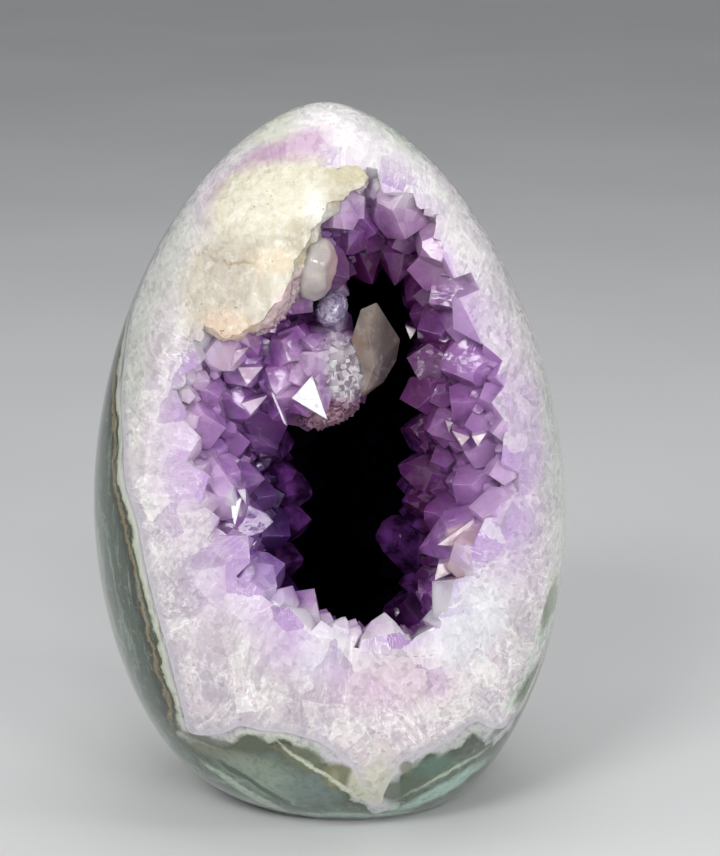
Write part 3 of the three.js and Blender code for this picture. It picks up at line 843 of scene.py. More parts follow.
class Nodes:
    """A new material's nodes, made by short calls. A place is the object's own unless it is given."""

    def __init__(self, name):
        self.material = bpy.data.materials.new(name)
        self.material.use_nodes = True
        self.tree = self.material.node_tree
        self.shader = self.tree.nodes["Principled BSDF"]
        self.where = self.node("TexCoord", output="Object")

    def node(self, kind, inputs=(), output=0, **settings):
        """One output of a new node with its settings and the values of its inputs"""
        node = self.tree.nodes.new("ShaderNode" + kind)
        for key, value in settings.items():
            setattr(node, key, value)
        for key, value in dict(inputs).items():
            self.feed(node.inputs[key], value)
        return node.outputs[output]

    def feed(self, socket, value):
        if isinstance(value, bpy.types.NodeSocket):
            self.tree.links.new(value, socket)
        else:
            socket.default_value = value

    def set(self, **values):
        for key, value in values.items():
            self.feed(self.shader.inputs[key.replace("_", " ").title().replace("Ior", "IOR")], value)

    def attribute(self, name):
        return self.node("Attribute", output="Fac", attribute_name=name)

    def axis(self, name, at=None):
        return self.node("SeparateXYZ", {0: at or self.where}, name)

    def maths(self, operation, *values):
        return self.node("Math", enumerate(values), operation=operation)

    def plus(self, a, b):
        return self.maths("ADD", a, b)

    def times(self, a, b):
        return self.maths("MULTIPLY", a, b)

    def vectors(self, operation, *values, output="Vector"):
        return self.node("VectorMath", enumerate(values), output, operation=operation)

    def scaled(self, vector, amount):
        return self.node("VectorMath", {0: vector, "Scale": amount}, operation="SCALE")

    def span(self, value, low, high, to_low=0.0, to_high=1.0):
        return self.node("MapRange", enumerate((value, low, high, to_low, to_high)))

    def stretched(self, at, scale):
        return self.node("Mapping", {"Vector": at, "Scale": scale}, vector_type="POINT")

    def noise(self, scale, detail=4.0, roughness=0.5, distortion=0.0, at=None, output="Fac"):
        return self.node("TexNoise", {
            "Vector": at or self.where, "Scale": scale, "Detail": detail, "Roughness": roughness,
            "Distortion": distortion,
        }, output)

    def cells(self, scale, output="Distance", at=None):
        return self.node("TexVoronoi", {"Vector": at or self.where, "Scale": scale}, output)

    def off_centre(self, colour):
        """A colour from 0 to 1 as a push either way"""
        return self.vectors("SUBTRACT", colour, (0.5, 0.5, 0.5))

    def warped(self, scale, amount, at=None):
        """Coordinates pushed about, which makes every edge drawn from them ragged"""
        at = at or self.where
        push = self.off_centre(self.noise(scale, 4, 0.6, at=at, output="Color"))
        return self.vectors("ADD", self.scaled(push, amount * MM), at)

    def patch(self, at, middle, reach, turn, fade):
        """1 inside an ellipsoid of the stone, given in mm, and 0 outside it"""
        inside = self.node("Mapping", {
            "Vector": at, "Location": Vector(middle) * MM + SHIFT, "Rotation": (0, turn, 0),
            "Scale": Vector(reach) * MM,
        }, vector_type="TEXTURE")
        return self.span(self.vectors("LENGTH", inside, output="Value"), 1 + fade, 1 - fade)

    def patches(self, colour, at, rows):
        """A colour with patches laid over it, each a middle, reach, turn, fade, colour and strength"""
        for middle, reach, turn, fade, tint, strength in rows:
            share = self.patch(at, middle, reach, turn, fade)
            colour = self.mix(self.times(share, strength), colour, tint)
        return colour

    def ramp(self, value, stops):
        """Colours along a value. Each stop is a place and a colour."""
        node = self.tree.nodes.new("ShaderNodeValToRGB")
        elements = node.color_ramp.elements
        while len(elements) < len(stops):
            elements.new(0.5)
        for element, (place, *colour) in zip(elements, stops):
            element.position = place
            element.color = as_light(colour)
        self.feed(node.inputs["Fac"], value)
        return node.outputs["Color"]

    def mix(self, factor, a, b):
        a, b = (c if isinstance(c, bpy.types.NodeSocket) else as_light(c) for c in (a, b))
        return self.node("Mix", {0: factor, MIX_A: a, MIX_B: b}, MIX_RESULT, data_type="RGBA")

    def lay(self, colour, tint, value, low, high, strength=1.0, share=None):
        """A tint over a colour, stronger as a value goes from low to high, times the share"""
        factor = self.span(value, low, high, 0, strength)
        if share:
            factor = self.times(factor, share)
        return self.mix(factor, colour, tint)

    def adjusted(self, colour, hue=0.5, saturation=1.0, value=1.0):
        return self.node("HueSaturation", {
            "Color": colour, "Hue": hue, "Saturation": saturation, "Value": value,
        })

    def own_normal(self):
        return self.node("NewGeometry", output="Normal")

    def rounded(self, radius):
        """The normal with edges rounded off by a radius, and 1 along the edges"""
        soft = self.node("Bevel", {"Radius": radius * MM}, samples=3)
        along = self.vectors("DOT_PRODUCT", soft, self.own_normal(), output="Value")
        return soft, self.span(along, 0.995, 0.9)

    def glittering(self, at, scale, tilt, normal=None):
        """A normal that tips a different way in each cell, as broken faces inside the stone do"""
        push = self.scaled(self.off_centre(self.cells(scale, "Color", at)), tilt)
        return self.vectors("NORMALIZE", self.vectors("ADD", push, normal or self.own_normal()))

    def bump(self, height, strength, distance, normal=None):
        inputs = {"Strength": strength, "Distance": distance, "Height": height}
        if normal:
            inputs["Normal"] = normal
        return self.node("Bump", inputs)


def as_light(colour):
    """A colour given as 0 to 255 the way a screen shows it, as light"""
    parts = [c / 255 for c in colour]
    return *(c / 12.92 if c <= 0.04045 else ((c + 0.055) / 1.055) ** 2.4 for c in parts), 1


# Columns of quartz round the pocket: the middle, how much lower than wide, their width, and how
# slowly they change outwards
COLUMN_CENTRE = (5, 88)
COLUMN_SQUASH = 0.8
COLUMN_WIDTH = 36
COLUMN_CREEP = 0.3


def column_space(make, growth):
    """Coordinates that turn round the pocket and run slowly outwards, for columns of quartz"""
    x, z = (make.maths("SUBTRACT", make.axis(name), middle * MM)
            for name, middle in zip("XZ", COLUMN_CENTRE))
    flat = make.node("CombineXYZ", {"X": x, "Z": make.times(z, COLUMN_SQUASH)})
    around = make.scaled(make.vectors("NORMALIZE", flat), COLUMN_WIDTH * MM)
    outward = make.node("CombineXYZ", {"Y": make.times(growth, COLUMN_CREEP * MM)})
    return make.warped(120, 5, make.vectors("ADD", around, outward))


# How small the grown-together crystals of the face are, and where it turns away from the front, as y
BLOCK_SCALE = 145
TURNING = (-24, -11)

# Tints of the polished face: middle, reach, turn, fade, colour and strength
FACE_TINTS = [
    ((-9, -14, 141), (11, 10, 3.6), -0.44, 0.3, (172, 120, 164), 0.74),
    ((-22, -18, 134), (7, 10, 4), -0.8, 0.5, (190, 152, 182), 0.58),
    ((-24, -24, 118), (9, 12, 15), 0.1, 0.4, (222, 218, 206), 0.6),
    ((-8.5, -41, 49), (6, 9, 7), 0, 0.6, (196, 160, 212), 0.6),
    ((-1, -41, 45.5), (5, 9, 6.5), 0.1, 0.4, (226, 224, 236), 0.4),
    ((14.4, -38, 38), (13, 9, 6), 0, 0.6, (214, 180, 202), 0.6),
    ((-20, -40, 58), (8, 9, 7), 0.3, 0.6, (206, 180, 216), 0.5),
    ((-23, -37, 47), (5, 9, 7), 0.3, 0.5, (200, 186, 196), 0.6),
    ((-28, -34, 84), (7, 12, 14), 0, 0.6, (216, 190, 222), 0.6),
    ((33, -30, 104), (7, 14, 20), -0.35, 0.6, (200, 166, 214), 0.5),
    ((40, -24, 76), (6, 14, 18), 0, 0.6, (206, 178, 220), 0.5),
    ((28, -36, 50), (9, 12, 10), 0.2, 0.35, (226, 230, 236), 0.6),
    ((34, -30, 66), (6, 12, 8), 0.1, 0.5, (200, 176, 216), 0.5),
    ((10, -30, 20), (9, 9, 6), 0, 0.6, (224, 214, 206), 0.5),
]
# Where the calcite shows on the face, and its tints
CALCITE_REACH = [
    ((-11.5, -18, 133), (13.5, 14, 7.6), -0.3, 0.2),
    ((-20, -26, 118), (9, 14, 13), 0.25, 0.25),
]
CALCITE_TINTS = [
    ((-19.5, -26, 117), (9.5, 14, 11), 0.25, 0.3, (202, 192, 178), 0.7),
    ((-11, -18, 133), (12.5, 14, 6.5), -0.3, 0.3, (244, 240, 216), 0.6),
    ((-17.5, -24, 121.6), (7, 9, 0.45), 0.16, 0.5, (150, 130, 92), 0.6),
    ((-12.6, -27, 115.5), (0.5, 9, 5), -0.35, 0.5, (160, 136, 100), 0.5),
    ((-19, -29, 109.5), (6, 9, 3.6), 0.1, 0.3, (228, 202, 176), 0.85),
    ((-11, -25, 122), (5, 9, 2.6), -0.2, 0.35, (222, 202, 168), 0.7),
    ((4.5, -16, 138.2), (5, 9, 2.8), 0.05, 0.25, (206, 196, 166), 0.9),
    ((-12.5, -28, 116), (1.2, 9, 5), 0.1, 0.3, (178, 172, 150), 0.6),
    ((-2.5, -18, 131.5), (2.4, 8, 4), 0, 0.4, (248, 248, 244), 0.8),
    ((-9.4, -24, 113.2), (8.6, 9, 2), -0.95, 0.3, (224, 192, 198), 0.85),
]


def block_space(make):
    """Coordinates for the grown-together crystals that the polished face cuts through"""
    return make.warped(600, 0.9, make.warped(80, 4.5))


def quartz_colour(make, growth, blocks, columns):
    """Cloudy white quartz with sugary grains, which turns into wide lilac blocks at the pocket"""
    cloud = make.noise(70, 4, 0.6)
    colour = make.ramp(cloud, [
        (0.3, 186, 178, 182), (0.42, 214, 206, 205), (0.52, 230, 225, 219), (0.6, 222, 204, 212),
        (0.7, 234, 231, 225),
    ])
    shade = make.cells(BLOCK_SCALE, "Color", blocks)
    milky = make.ramp(shade, [
        (0.3, 178, 168, 176), (0.42, 222, 214, 218), (0.5, 242, 239, 236), (0.6, 204, 190, 198),
    ])
    solid = make.maths("MAXIMUM", make.span(make.noise(50, 2), 0.42, 0.6, 0.15, 0.7),
                       make.span(growth, 14, 6, 0, 0.75))
    colour = make.mix(solid, colour, milky)
    lilac = make.ramp(shade, [
        (0.25, 158, 112, 186), (0.42, 190, 150, 210), (0.52, 222, 202, 230), (0.65, 172, 128, 196),
    ])
    near = make.maths("DIVIDE", growth, make.span(make.noise(90, 3), 0.35, 0.65, 2, 10))
    colour = make.mix(make.span(near, 0.1, 1.1, 0.85, 0), colour, lilac)
    veins = make.noise(190, 5, 0.65, 1.5, columns)
    colour = make.lay(colour, (172, 158, 176), veins, 0.5, 0.38, 0.5)
    crossing = make.maths("ABSOLUTE", make.maths("SUBTRACT", veins, 0.5))
    white = make.times(make.span(crossing, 0, 0.018, 1, 0), make.span(cloud, 0.4, 0.55, 0.3, 1))
    colour = make.mix(white, colour, (254, 252, 254))
    grains = make.cells(1500, "Color", make.warped(500, 1.5))
    sugary = make.times(make.span(make.noise(85, 3), 0.48, 0.62, 0.1, 1), make.span(growth, 3, 11))
    colour = make.lay(colour, (254, 253, 254), grains, 0.6, 0.72, 0.34, sugary)
    return make.lay(colour, (164, 154, 164), grains, 0.34, 0.26, 0.25, sugary)


def calcite_colour(make):
    """Cream calcite, bright and streaked above, beige and waxy below"""
    colour = make.ramp(make.noise(170, 5, 0.65), [
        (0.3, 176, 166, 146), (0.5, 202, 194, 174), (0.65, 218, 213, 196),
    ])
    streaks = make.noise(520, 5, 0.65, at=make.stretched(make.warped(200, 2), (1, 1, 0.16)))
    colour = make.lay(colour, (242, 239, 226), streaks, 0.5, 0.64, 0.4)
    colour = make.lay(colour, (196, 172, 124), streaks, 0.46, 0.36, 0.4)
    colour = make.patches(colour, make.warped(900, 1.2, make.warped(140, 5)), CALCITE_TINTS)
    mottle = make.noise(380, 6, 0.72, at=make.warped(260, 3))
    colour = make.lay(colour, (250, 247, 236), mottle, 0.52, 0.66, 0.5)
    colour = make.lay(colour, (196, 174, 134), mottle, 0.46, 0.34, 0.35)
    dotted = make.span(make.noise(180, 2), 0.5, 0.6, 0, 0.8)
    return make.lay(colour, (110, 98, 82), make.noise(1300, 2), 0.64, 0.7, 1, dotted)


def face_colour(make, growth, turning, blocks, columns):
    """The polished face: quartz, its clouds and tints, and the calcite that it cuts through"""
    ragged = make.warped(140, 5)
    colour = quartz_colour(make, growth, blocks, columns)
    colour = make.lay(colour, (238, 238, 236), turning, 0.2, 1, 0.42)
    colour = make.patches(colour, ragged, FACE_TINTS)
    near = make.span(growth, 5, 15, 1, 0.15)
    shade = make.cells(BLOCK_SCALE, "Color", blocks)
    colour = make.lay(colour, (252, 248, 252), shade, 0.5, 0.8, 0.4, near)
    colour = make.lay(colour, (182, 142, 204), shade, 0.5, 0.2, 0.4, near)
    rough = make.warped(900, 1.2, ragged)
    share = make.maths("MAXIMUM", *(make.patch(rough, *row) for row in CALCITE_REACH))
    return make.mix(share, colour, calcite_colour(make))


# The foot's front: middle, reach, turn and fade
FOOT_FRONT = ((0, -34, 14), (60, 34, 24), 0, 0.15)
# Shapes in the green agate at the foot and the right edge, laid over each other in this order:
# middle, reach, turn, fade, colour and strength
FOOT_TINTS = [
    ((-22, -29, 19.5), (12, 9, 2.2), 0.15, 0.3, (122, 126, 104), 0.8),
    ((-13, -30, 13.5), (9, 9, 4.5), 0.35, 0.4, (136, 156, 136), 0.8),
    ((-4, -29, 11.5), (6, 9, 4), 0.3, 0.35, (104, 124, 120), 0.8),
    ((-24, -28, 22.2), (6.5, 9, 1.1), 0.05, 0.3, (74, 84, 60), 0.8),
    ((-16, -34, 23.3), (3.4, 7, 2.2), 0, 0.25, (80, 88, 66), 0.95),
    ((-5.2, -34, 20.4), (4.6, 7, 2.8), 0.6, 0.2, (100, 108, 80), 0.95),
    ((1.6, -32, 15.6), (3.4, 6, 3.6), 0.2, 0.2, (118, 116, 80), 0.95),
    ((0.9, -32, 15), (1, 6, 2), 0.2, 0.4, (150, 148, 112), 0.8),
    ((-19, -27, 14.6), (5, 9, 0.8), 0.55, 0.3, (56, 76, 60), 0.95),
    ((-13.5, -27, 10.6), (6.5, 9, 0.75), 0.62, 0.3, (60, 82, 66), 0.95),
    ((-5, -25, 5), (7.5, 9, 0.6), 0.42, 0.3, (66, 92, 78), 0.9),
    ((-22, -26, 12.5), (5, 9, 0.9), 0.6, 0.35, (178, 196, 174), 0.85),
    ((-15, -25, 7), (8, 9, 1.1), 0.6, 0.35, (172, 192, 172), 0.85),
    ((-0.8, -31, 15.8), (14.6, 9, 0.5), 0.73, 0.4, (206, 210, 184), 0.95),
    ((6.6, -31, 14), (2.7, 7, 5), -0.1, 0.25, (196, 198, 168), 0.95),
    ((14.5, -29, 11), (4.6, 9, 3.2), -0.25, 0.3, (78, 94, 72), 0.9),
    ((16, -31, 17), (1.6, 9, 1.8), 0, 0.3, (112, 114, 86), 0.8),
    ((21.5, -30, 16.5), (4, 9, 2.6), -0.2, 0.35, (78, 116, 98), 0.85),
    ((26, -27, 14), (9, 9, 0.5), -0.42, 0.5, (176, 196, 166), 0.9),
    ((24, -24, 8.8), (13, 9, 1.7), -0.42, 0.35, (160, 196, 180), 0.9),
    ((6, -24, 2.6), (14, 9, 1.1), 0.05, 0.35, (158, 190, 172), 0.85),
    ((36.5, -21, 22), (4, 9, 1.5), -0.7, 0.4, (84, 108, 98), 0.85),
]
EDGE_TINTS = [
    ((9.6, -31, 11.5), (4.4, 9, 7), 0, 0.5, (198, 200, 176), 0.75),
    ((40.6, -19, 29.5), (5, 9, 3.6), -1.05, 0.3, (196, 212, 196), 0.85),
    ((45.9, -16, 44.8), (6.5, 9, 2.6), -1.35, 0.3, (196, 212, 196), 0.85),
    ((42, -17.5, 30), (5, 9, 2.6), -1.05, 0.3, (78, 98, 64), 1),
    ((46.2, -16.5, 47.6), (5.6, 9, 2.2), -1.35, 0.3, (84, 102, 64), 1),
    ((42, -14, 36.5), (3, 9, 1.2), -1.2, 0.4, (190, 210, 196), 0.7),
    ((47, -9, 72), (4, 12, 34), 0, 0.5, (196, 206, 192), 0.6),
    ((-12, -4, 145), (7, 8, 3), -0.5, 0.5, (208, 214, 188), 0.6),
    ((14, -4, 146), (9, 8, 3), 0.6, 0.5, (204, 216, 198), 0.6),
    ((-33, -10, 118), (4, 12, 14), 0.3, 0.4, (196, 200, 186), 0.6),
    ((-40, -14, 98), (4, 12, 14), 0.15, 0.4, (200, 206, 192), 0.6),
]

# Bands of the agate from the quartz outwards, as a part of their reach in mm and a colour
BANDS_REACH = 40
SIDE_BANDS = [
    (0.0, 156, 152, 160), (0.014, 196, 194, 190), (0.03, 208, 210, 196), (0.052, 172, 184, 152),
    (0.062, 56, 60, 34), (0.078, 40, 42, 20), (0.086, 116, 104, 62), (0.112, 132, 114, 68),
    (0.12, 30, 32, 16), (0.15, 36, 46, 30), (0.18, 60, 80, 62), (0.30, 52, 76, 62),
    (0.34, 104, 126, 108), (0.37, 66, 92, 76), (0.46, 52, 78, 64), (0.50, 140, 156, 134),
    (0.53, 76, 100, 82), (0.62, 60, 84, 68), (0.70, 112, 134, 112), (0.74, 58, 82, 68),
    (0.84, 82, 108, 90), (0.88, 158, 172, 148), (0.92, 70, 94, 78), (1.0, 88, 114, 96),
]
FOOT_BANDS = [
    (0.0, 204, 200, 208), (0.03, 192, 192, 196), (0.055, 172, 180, 172), (0.064, 138, 148, 132),
    (0.074, 58, 68, 54), (0.11, 74, 86, 70), (0.16, 92, 108, 94), (0.22, 98, 116, 102),
    (0.30, 80, 98, 84), (0.36, 126, 144, 128), (0.40, 84, 104, 92), (0.55, 110, 130, 116),
    (0.62, 76, 96, 84), (0.72, 142, 160, 142), (0.80, 90, 112, 98), (1.0, 104, 126, 112),
]


def agate_colour(make, rind):
    """Green agate in bands that follow the quartz, with an olive vein up the left side"""
    ragged = make.warped(160, 3.5)
    height = make.axis("Z", ragged)
    low = make.span(height, 0.027, 0.02)
    drift = make.span(make.noise(120, 5, 0.6), 0.25, 0.75, -1.5, 1.5)
    lumps = make.span(make.cells(210), 0, 0.75, 1.9, -1.5)
    lumps = make.times(lumps, make.span(low, 0, 1, 0.25, 1))
    uneven = make.span(make.noise(450, 4, 0.65), 0.3, 0.7, -0.7, 0.7)
    banded = make.plus(rind, make.times(drift, make.span(rind, 0, 10, 0.15, 2.2)))
    banded = make.plus(banded, make.times(lumps, make.span(rind, 0, 1.2)))
    banded = make.plus(banded, make.times(uneven, make.span(rind, 1, 4)))
    share = make.span(banded, 0, BANDS_REACH)
    side, foot = make.ramp(share, SIDE_BANDS), make.ramp(share, FOOT_BANDS)
    rising = make.noise(480, 5, 0.7, at=make.stretched(make.warped(90, 3), (1, 1, 0.14)))
    side = make.lay(side, (150, 172, 154), rising, 0.54, 0.68, 0.5)
    side = make.lay(side, (38, 54, 40), rising, 0.46, 0.34, 0.5)
    colour = make.mix(low, side, foot)
    moss = make.noise(420, 6, 0.75)
    solid = make.span(banded, 2, 6)
    thick = make.times(make.span(make.noise(60, 3), 0.4, 0.6, 0.2, 1), solid)
    colour = make.lay(colour, (48, 66, 50), moss, 0.5, 0.62, 0.8, thick)
    colour = make.lay(colour, (146, 168, 148), moss, 0.42, 0.34, 0.5, solid)
    tinted = make.patches(colour, ragged, FOOT_TINTS)
    tinted = make.lay(tinted, (66, 82, 62), make.noise(700, 4, 0.7), 0.5, 0.62, 0.35)
    colour = make.mix(make.patch(make.where, *FOOT_FRONT), colour, tinted)
    high = make.plus(height, make.span(make.noise(30, 3), 0.3, 0.7, -0.012, 0.012))
    colour = make.lay(colour, (200, 208, 190), high, 0.112, 0.14, 0.7)
    return make.adjusted(colour, saturation=0.86, value=0.92)


def turning_away(make):
    """0 on the front of the stone and 1 at its sides and top, where the polish is smoothest"""
    return make.span(make.axis("Y"), *(y * MM + SHIFT.y for y in TURNING))


def rind_material():
    make = Nodes("polished_agate")
    rind, growth = make.attribute("rind"), make.attribute("growth")
    turning, blocks, columns = turning_away(make), block_space(make), column_space(make, growth)
    quartz = face_colour(make, growth, turning, blocks, columns)
    chalcedony = make.plus(rind, make.span(make.noise(200, 3), 0, 1, -1, 1))
    quartz = make.lay(quartz, (198, 192, 202), chalcedony, -3.2, -1.0, 0.7)
    line = make.span(make.maths("ABSOLUTE", make.plus(rind, 0.9)), 0, 0.5, 0.15, 0)
    quartz = make.mix(line, quartz, (176, 168, 178))
    quartz = make.patches(quartz, make.warped(110, 7, make.warped(220, 1.2)), EDGE_TINTS)
    colour = make.mix(make.span(rind, -0.12, 0.12), quartz, agate_colour(make, rind))
    inside = make.span(rind, -2, 0, 1, 0)
    tilt = make.times(make.span(growth, 2, 12, 0.35, 0.12), inside)
    broken = make.glittering(blocks, BLOCK_SCALE, tilt)
    tilt = make.times(inside, make.span(turning, 0, 1, 0.55, 0.3))
    flakes = make.glittering(make.warped(400, 2), 900, tilt, broken)
    relief = make.times(make.noise(190, 6, 0.7, 1.5, columns), make.span(inside, 0, 1, 0.04, 1))
    relief = make.times(relief, make.span(turning, 0, 1, 1, 0.6))
    make.set(base_color=painted_inner_shade(make, colour), roughness=0.13, coat_weight=0.6,
             coat_roughness=0.05, normal=make.bump(relief, 0.7, 0.001, flakes))
    return make.material


# Tints of the crystals: middle, reach, turn, fade, colour and strength
CRYSTAL_TINTS = [
    ((24, -12, 84), (14, 15, 36), 0.1, 0.4, (110, 52, 104), 0.6),
    ((12, -11, 118), (12, 12, 10), 0, 0.5, (108, 42, 96), 0.6),
    ((3.4, -17, 118), (4, 6, 5.5), 0, 0.3, (104, 54, 106), 0.75),
    ((-18, -27, 82), (9, 11, 24), 0, 0.5, (200, 156, 222), 0.45),
    ((31, -25, 90), (8, 11, 30), 0.1, 0.5, (206, 152, 224), 0.45),
    ((30, -25, 107), (8, 10, 14), -0.35, 0.4, (198, 146, 220), 0.55),
    ((-12, -33, 60), (8, 12, 9), 0.4, 0.5, (160, 112, 212), 0.5),
    ((17, -20, 124), (12, 7, 8), 0, 0.5, (192, 142, 198), 0.4),
    ((-8, -16, 64), (8, 14, 15), 0, 0.5, (84, 56, 128), 0.4),
    ((-3.7, -41, 52), (7, 5, 4), 0, 0.5, (236, 232, 242), 0.7),
    ((29, -37, 50), (10, 9, 8), 0.3, 0.4, (232, 230, 238), 0.8),
    ((33, -30, 78), (5, 10, 16), 0, 0.5, (218, 180, 230), 0.5),
    # The next nine rows are pale tints on facets that mirror a light: painted highlights and painted
    # reflections. The tenth lightens a block that lies in shade, as painted light.
    ((-3.5, -27.5, 94.7), (5, 3.4, 5.5), 0, 0.15, (246, 242, 250), 0.85),
    ((-17.5, -27.5, 101.5), (6, 2.6, 4.5), 0, 0.2, (222, 196, 210), 0.6),
    ((-18, -35.3, 74.5), (2.4, 1.8, 4), 0, 0.2, (236, 232, 246), 0.8),
    ((24.4, -21, 87.2), (1.5, 1.2, 1.8), 0, 0.2, (220, 204, 204), 0.6),
    ((16.8, -13, 105), (2.4, 1.8, 2.4), 0, 0.2, (232, 214, 222), 0.8),
    ((-14.5, -26, 92.8), (3.5, 2, 2.4), 0, 0.2, (214, 186, 206), 0.6),
    ((28, -28.5, 86.5), (4.5, 2, 2.4), 0, 0.2, (232, 206, 204), 0.8),
    ((26, -31.5, 67), (5.6, 3, 4), -0.45, 0.15, (228, 198, 206), 0.85),
    ((24.6, -32, 60.2), (4, 3, 2.2), 0, 0.15, (226, 200, 206), 0.85),
    ((23, -32, 54), (3.4, 5, 5), 0, 0.2, (250, 248, 252), 0.85),
    ((20, -35.5, 46.5), (6, 4.5, 5.4), 0, 0.3, (232, 222, 238), 0.85),
]
# Tints of the druses: middle, reach, turn, fade, the druse's own colour on its dark facets, and the
# colour of a painted glint on its light facets
DRUSE_TINTS = [
    ((3.2, -20, 98.5), (4.4, 8, 7.5), -0.15, 0.3, (156, 138, 152), (250, 248, 250)),
    ((0.5, -18, 89), (7, 8, 4), -0.35, 0.35, (122, 82, 100), (206, 168, 182)),
    ((-9.8, -24, 113), (9, 7, 4), -0.95, 0.3, (196, 156, 166), (242, 220, 224)),
    ((0.7, -16.5, 110.3), (4, 6, 4.6), 0.5, 0.3, (150, 138, 172), (226, 216, 238)),
]


def painted_inner_shade(make, colour):
    """Painted shade: darker and more purple with the depth under the polished face, and black at the
    back of the hollow
    """
    below = make.attribute("below")
    colour = make.lay(colour, (150, 96, 168), below, 2, 14)
    return make.lay(colour, (5, 2, 6), below, 14, 30)


def crystal_depth(make):
    return make.plus(make.attribute("below"), make.span(make.noise(130, 3), 0.3, 0.7, -3, 3))


def amethyst_colour(make, depth):
    """Pale violet by the face, deeper violet inwards and then black at the back as painted shade, with
    veils, tints, painted facet reflections and druses with painted glints
    """
    facet = make.attribute("facet")
    # Deeper violet with depth is the crystals' own colour; the black at the far end of both ramps is
    # painted shade
    tips = make.ramp(make.span(depth, 0, 36), [
        (0.0, 246, 234, 246), (0.1, 234, 210, 240), (0.24, 206, 162, 220), (0.4, 170, 108, 190),
        (0.54, 118, 62, 138), (0.68, 68, 30, 82), (0.82, 30, 12, 38), (1.0, 5, 2, 7),
    ])
    roots = make.ramp(make.span(depth, 0, 36), [
        (0.0, 252, 246, 252), (0.24, 238, 214, 244), (0.46, 172, 116, 190), (0.66, 78, 36, 92),
        (0.84, 22, 9, 28), (1.0, 4, 1, 5),
    ])
    colour = make.mix(make.span(make.attribute("growth"), 2.0, 6.5), tips, roots)
    parts = make.warped(160, 3)
    fracture = make.cells(420, "Color", parts)
    veils = make.noise(260, 4, 0.6, at=parts)
    cloudy = make.mix(0.6, colour, (252, 236, 252))
    colour = make.lay(colour, cloudy, veils, 0.5, 0.66, 0.6, make.span(depth, 12, 24, 1, 0))
    rich = make.mix(0.6, colour, (84, 38, 122))
    colour = make.lay(colour, rich, veils, 0.46, 0.34, 0.6, make.span(depth, 0, 8, 0.15, 1))
    hue = make.span(make.noise(60, 2), 0.35, 0.65, 0.485, 0.525)
    # Each flat face made lighter or darker by lot: partly tone that differs by lot, partly painted
    # reflections inside the crystal
    light = make.plus(make.span(facet, 0, 1, 0.78, 1.18), make.span(fracture, 0.2, 0.8, -0.16, 0.16))
    colour = make.adjusted(colour, hue, make.span(facet, 0, 1, 1.18, 0.92), light)
    ragged = make.warped(300, 2)
    colour = make.patches(colour, ragged, CRYSTAL_TINTS)
    # Painted glints: druse facets that draw a high number take the light colour
    glint = make.plus(facet, make.span(fracture, 0.2, 0.8, -0.3, 0.3))
    for *patch, dark, light in DRUSE_TINTS:
        sparkle = make.mix(make.span(glint, 0.25, 1.05), dark, light)
        colour = make.mix(make.patch(ragged, *patch), colour, sparkle)
    return colour


def amethyst_material():
    make = Nodes("amethyst")
    depth = crystal_depth(make)
    colour = amethyst_colour(make, depth)
    normal, edges = make.rounded(0.25)
    # Painted highlight: the crystals' edges paled towards white near the face, as the light that edges
    # catch
    highlight_and_wear = make.times(edges, make.span(make.noise(400, 2), 0.45, 0.6))
    pale = make.mix(0.7, colour, (255, 248, 255))
    colour = make.mix(make.times(highlight_and_wear, make.span(depth, 6, 26, 0.7, 0)), colour, pale)
    broken = make.glittering(make.warped(300, 3), 650, 0.16, normal)
    waves = make.noise(420, 4, 0.55, at=make.stretched(make.where, (1, 1, 2.5)))
    make.set(base_color=colour, roughness=0.05, ior=1.544, transmission_weight=0.35,
             subsurface_weight=0.6, subsurface_scale=0.003, subsurface_radius=(1.0, 0.8, 1.0),
             normal=make.bump(waves, 0.35, 0.0003, broken))
    absorb = make.node("VolumeAbsorption", {"Color": (0.86, 0.66, 0.88, 1), "Density": 20})
    make.feed(make.tree.nodes["Material Output"].inputs["Volume"], absorb)
    return make.material


def painted_shade_material():
    """The crystals at the back of the hollow, where hardly any light comes: dark purple that goes black
    inwards, as painted shade
    """
    make = Nodes("amethyst_painted_shade")
    colour = make.ramp(make.noise(300, 3), [(0.4, 36, 14, 46), (0.65, 92, 46, 110)])
    colour = make.lay(colour, (7, 3, 10), crystal_depth(make), 26, 42)
    make.set(base_color=colour, roughness=0.6, specular_ior_level=0)
    return make.material


def cream_material():
    make = Nodes("cream_calcite")
    flakes = make.glittering(make.warped(400, 2), 900, 0.5)
    relief = make.noise(420, 6, 0.7, at=make.warped(300, 2))
    make.set(base_color=calcite_colour(make), roughness=0.34, coat_weight=0.3, coat_roughness=0.12,
             normal=make.bump(relief, 0.8, 0.001, flakes))
    return make.material


# The light and dark colours of the knob and the blade
KNOB_COLOURS = (240, 234, 228), (208, 200, 194)
BLADE_COLOURS = (176, 164, 154), (142, 130, 122)
# Tints of the blade and the knob: middle, reach, turn, fade, colour and strength
BLADE_TINTS = [
    ((13, -14, 101), (4.4, 9, 11), 0.1, 0.25, (112, 100, 98), 0.9),
    ((5, -19, 103), (2.2, 6, 2.6), 0, 0.6, (188, 140, 112), 0.4),
    ((6, -20, 96), (2.6, 6, 2.4), 0, 0.6, (206, 192, 184), 0.6),
]
KNOB_TINTS = [
    ((1.6, -22, 119.5), (1.5, 7, 6.5), 0.1, 0.5, (232, 192, 190), 0.8),
    ((-4, -25, 122.5), (2.6, 4, 2.4), 0.4, 0.6, (236, 232, 224), 0.7),
    ((-2, -25, 116), (2.4, 4, 2.2), 0.3, 0.6, (180, 172, 164), 0.6),
]


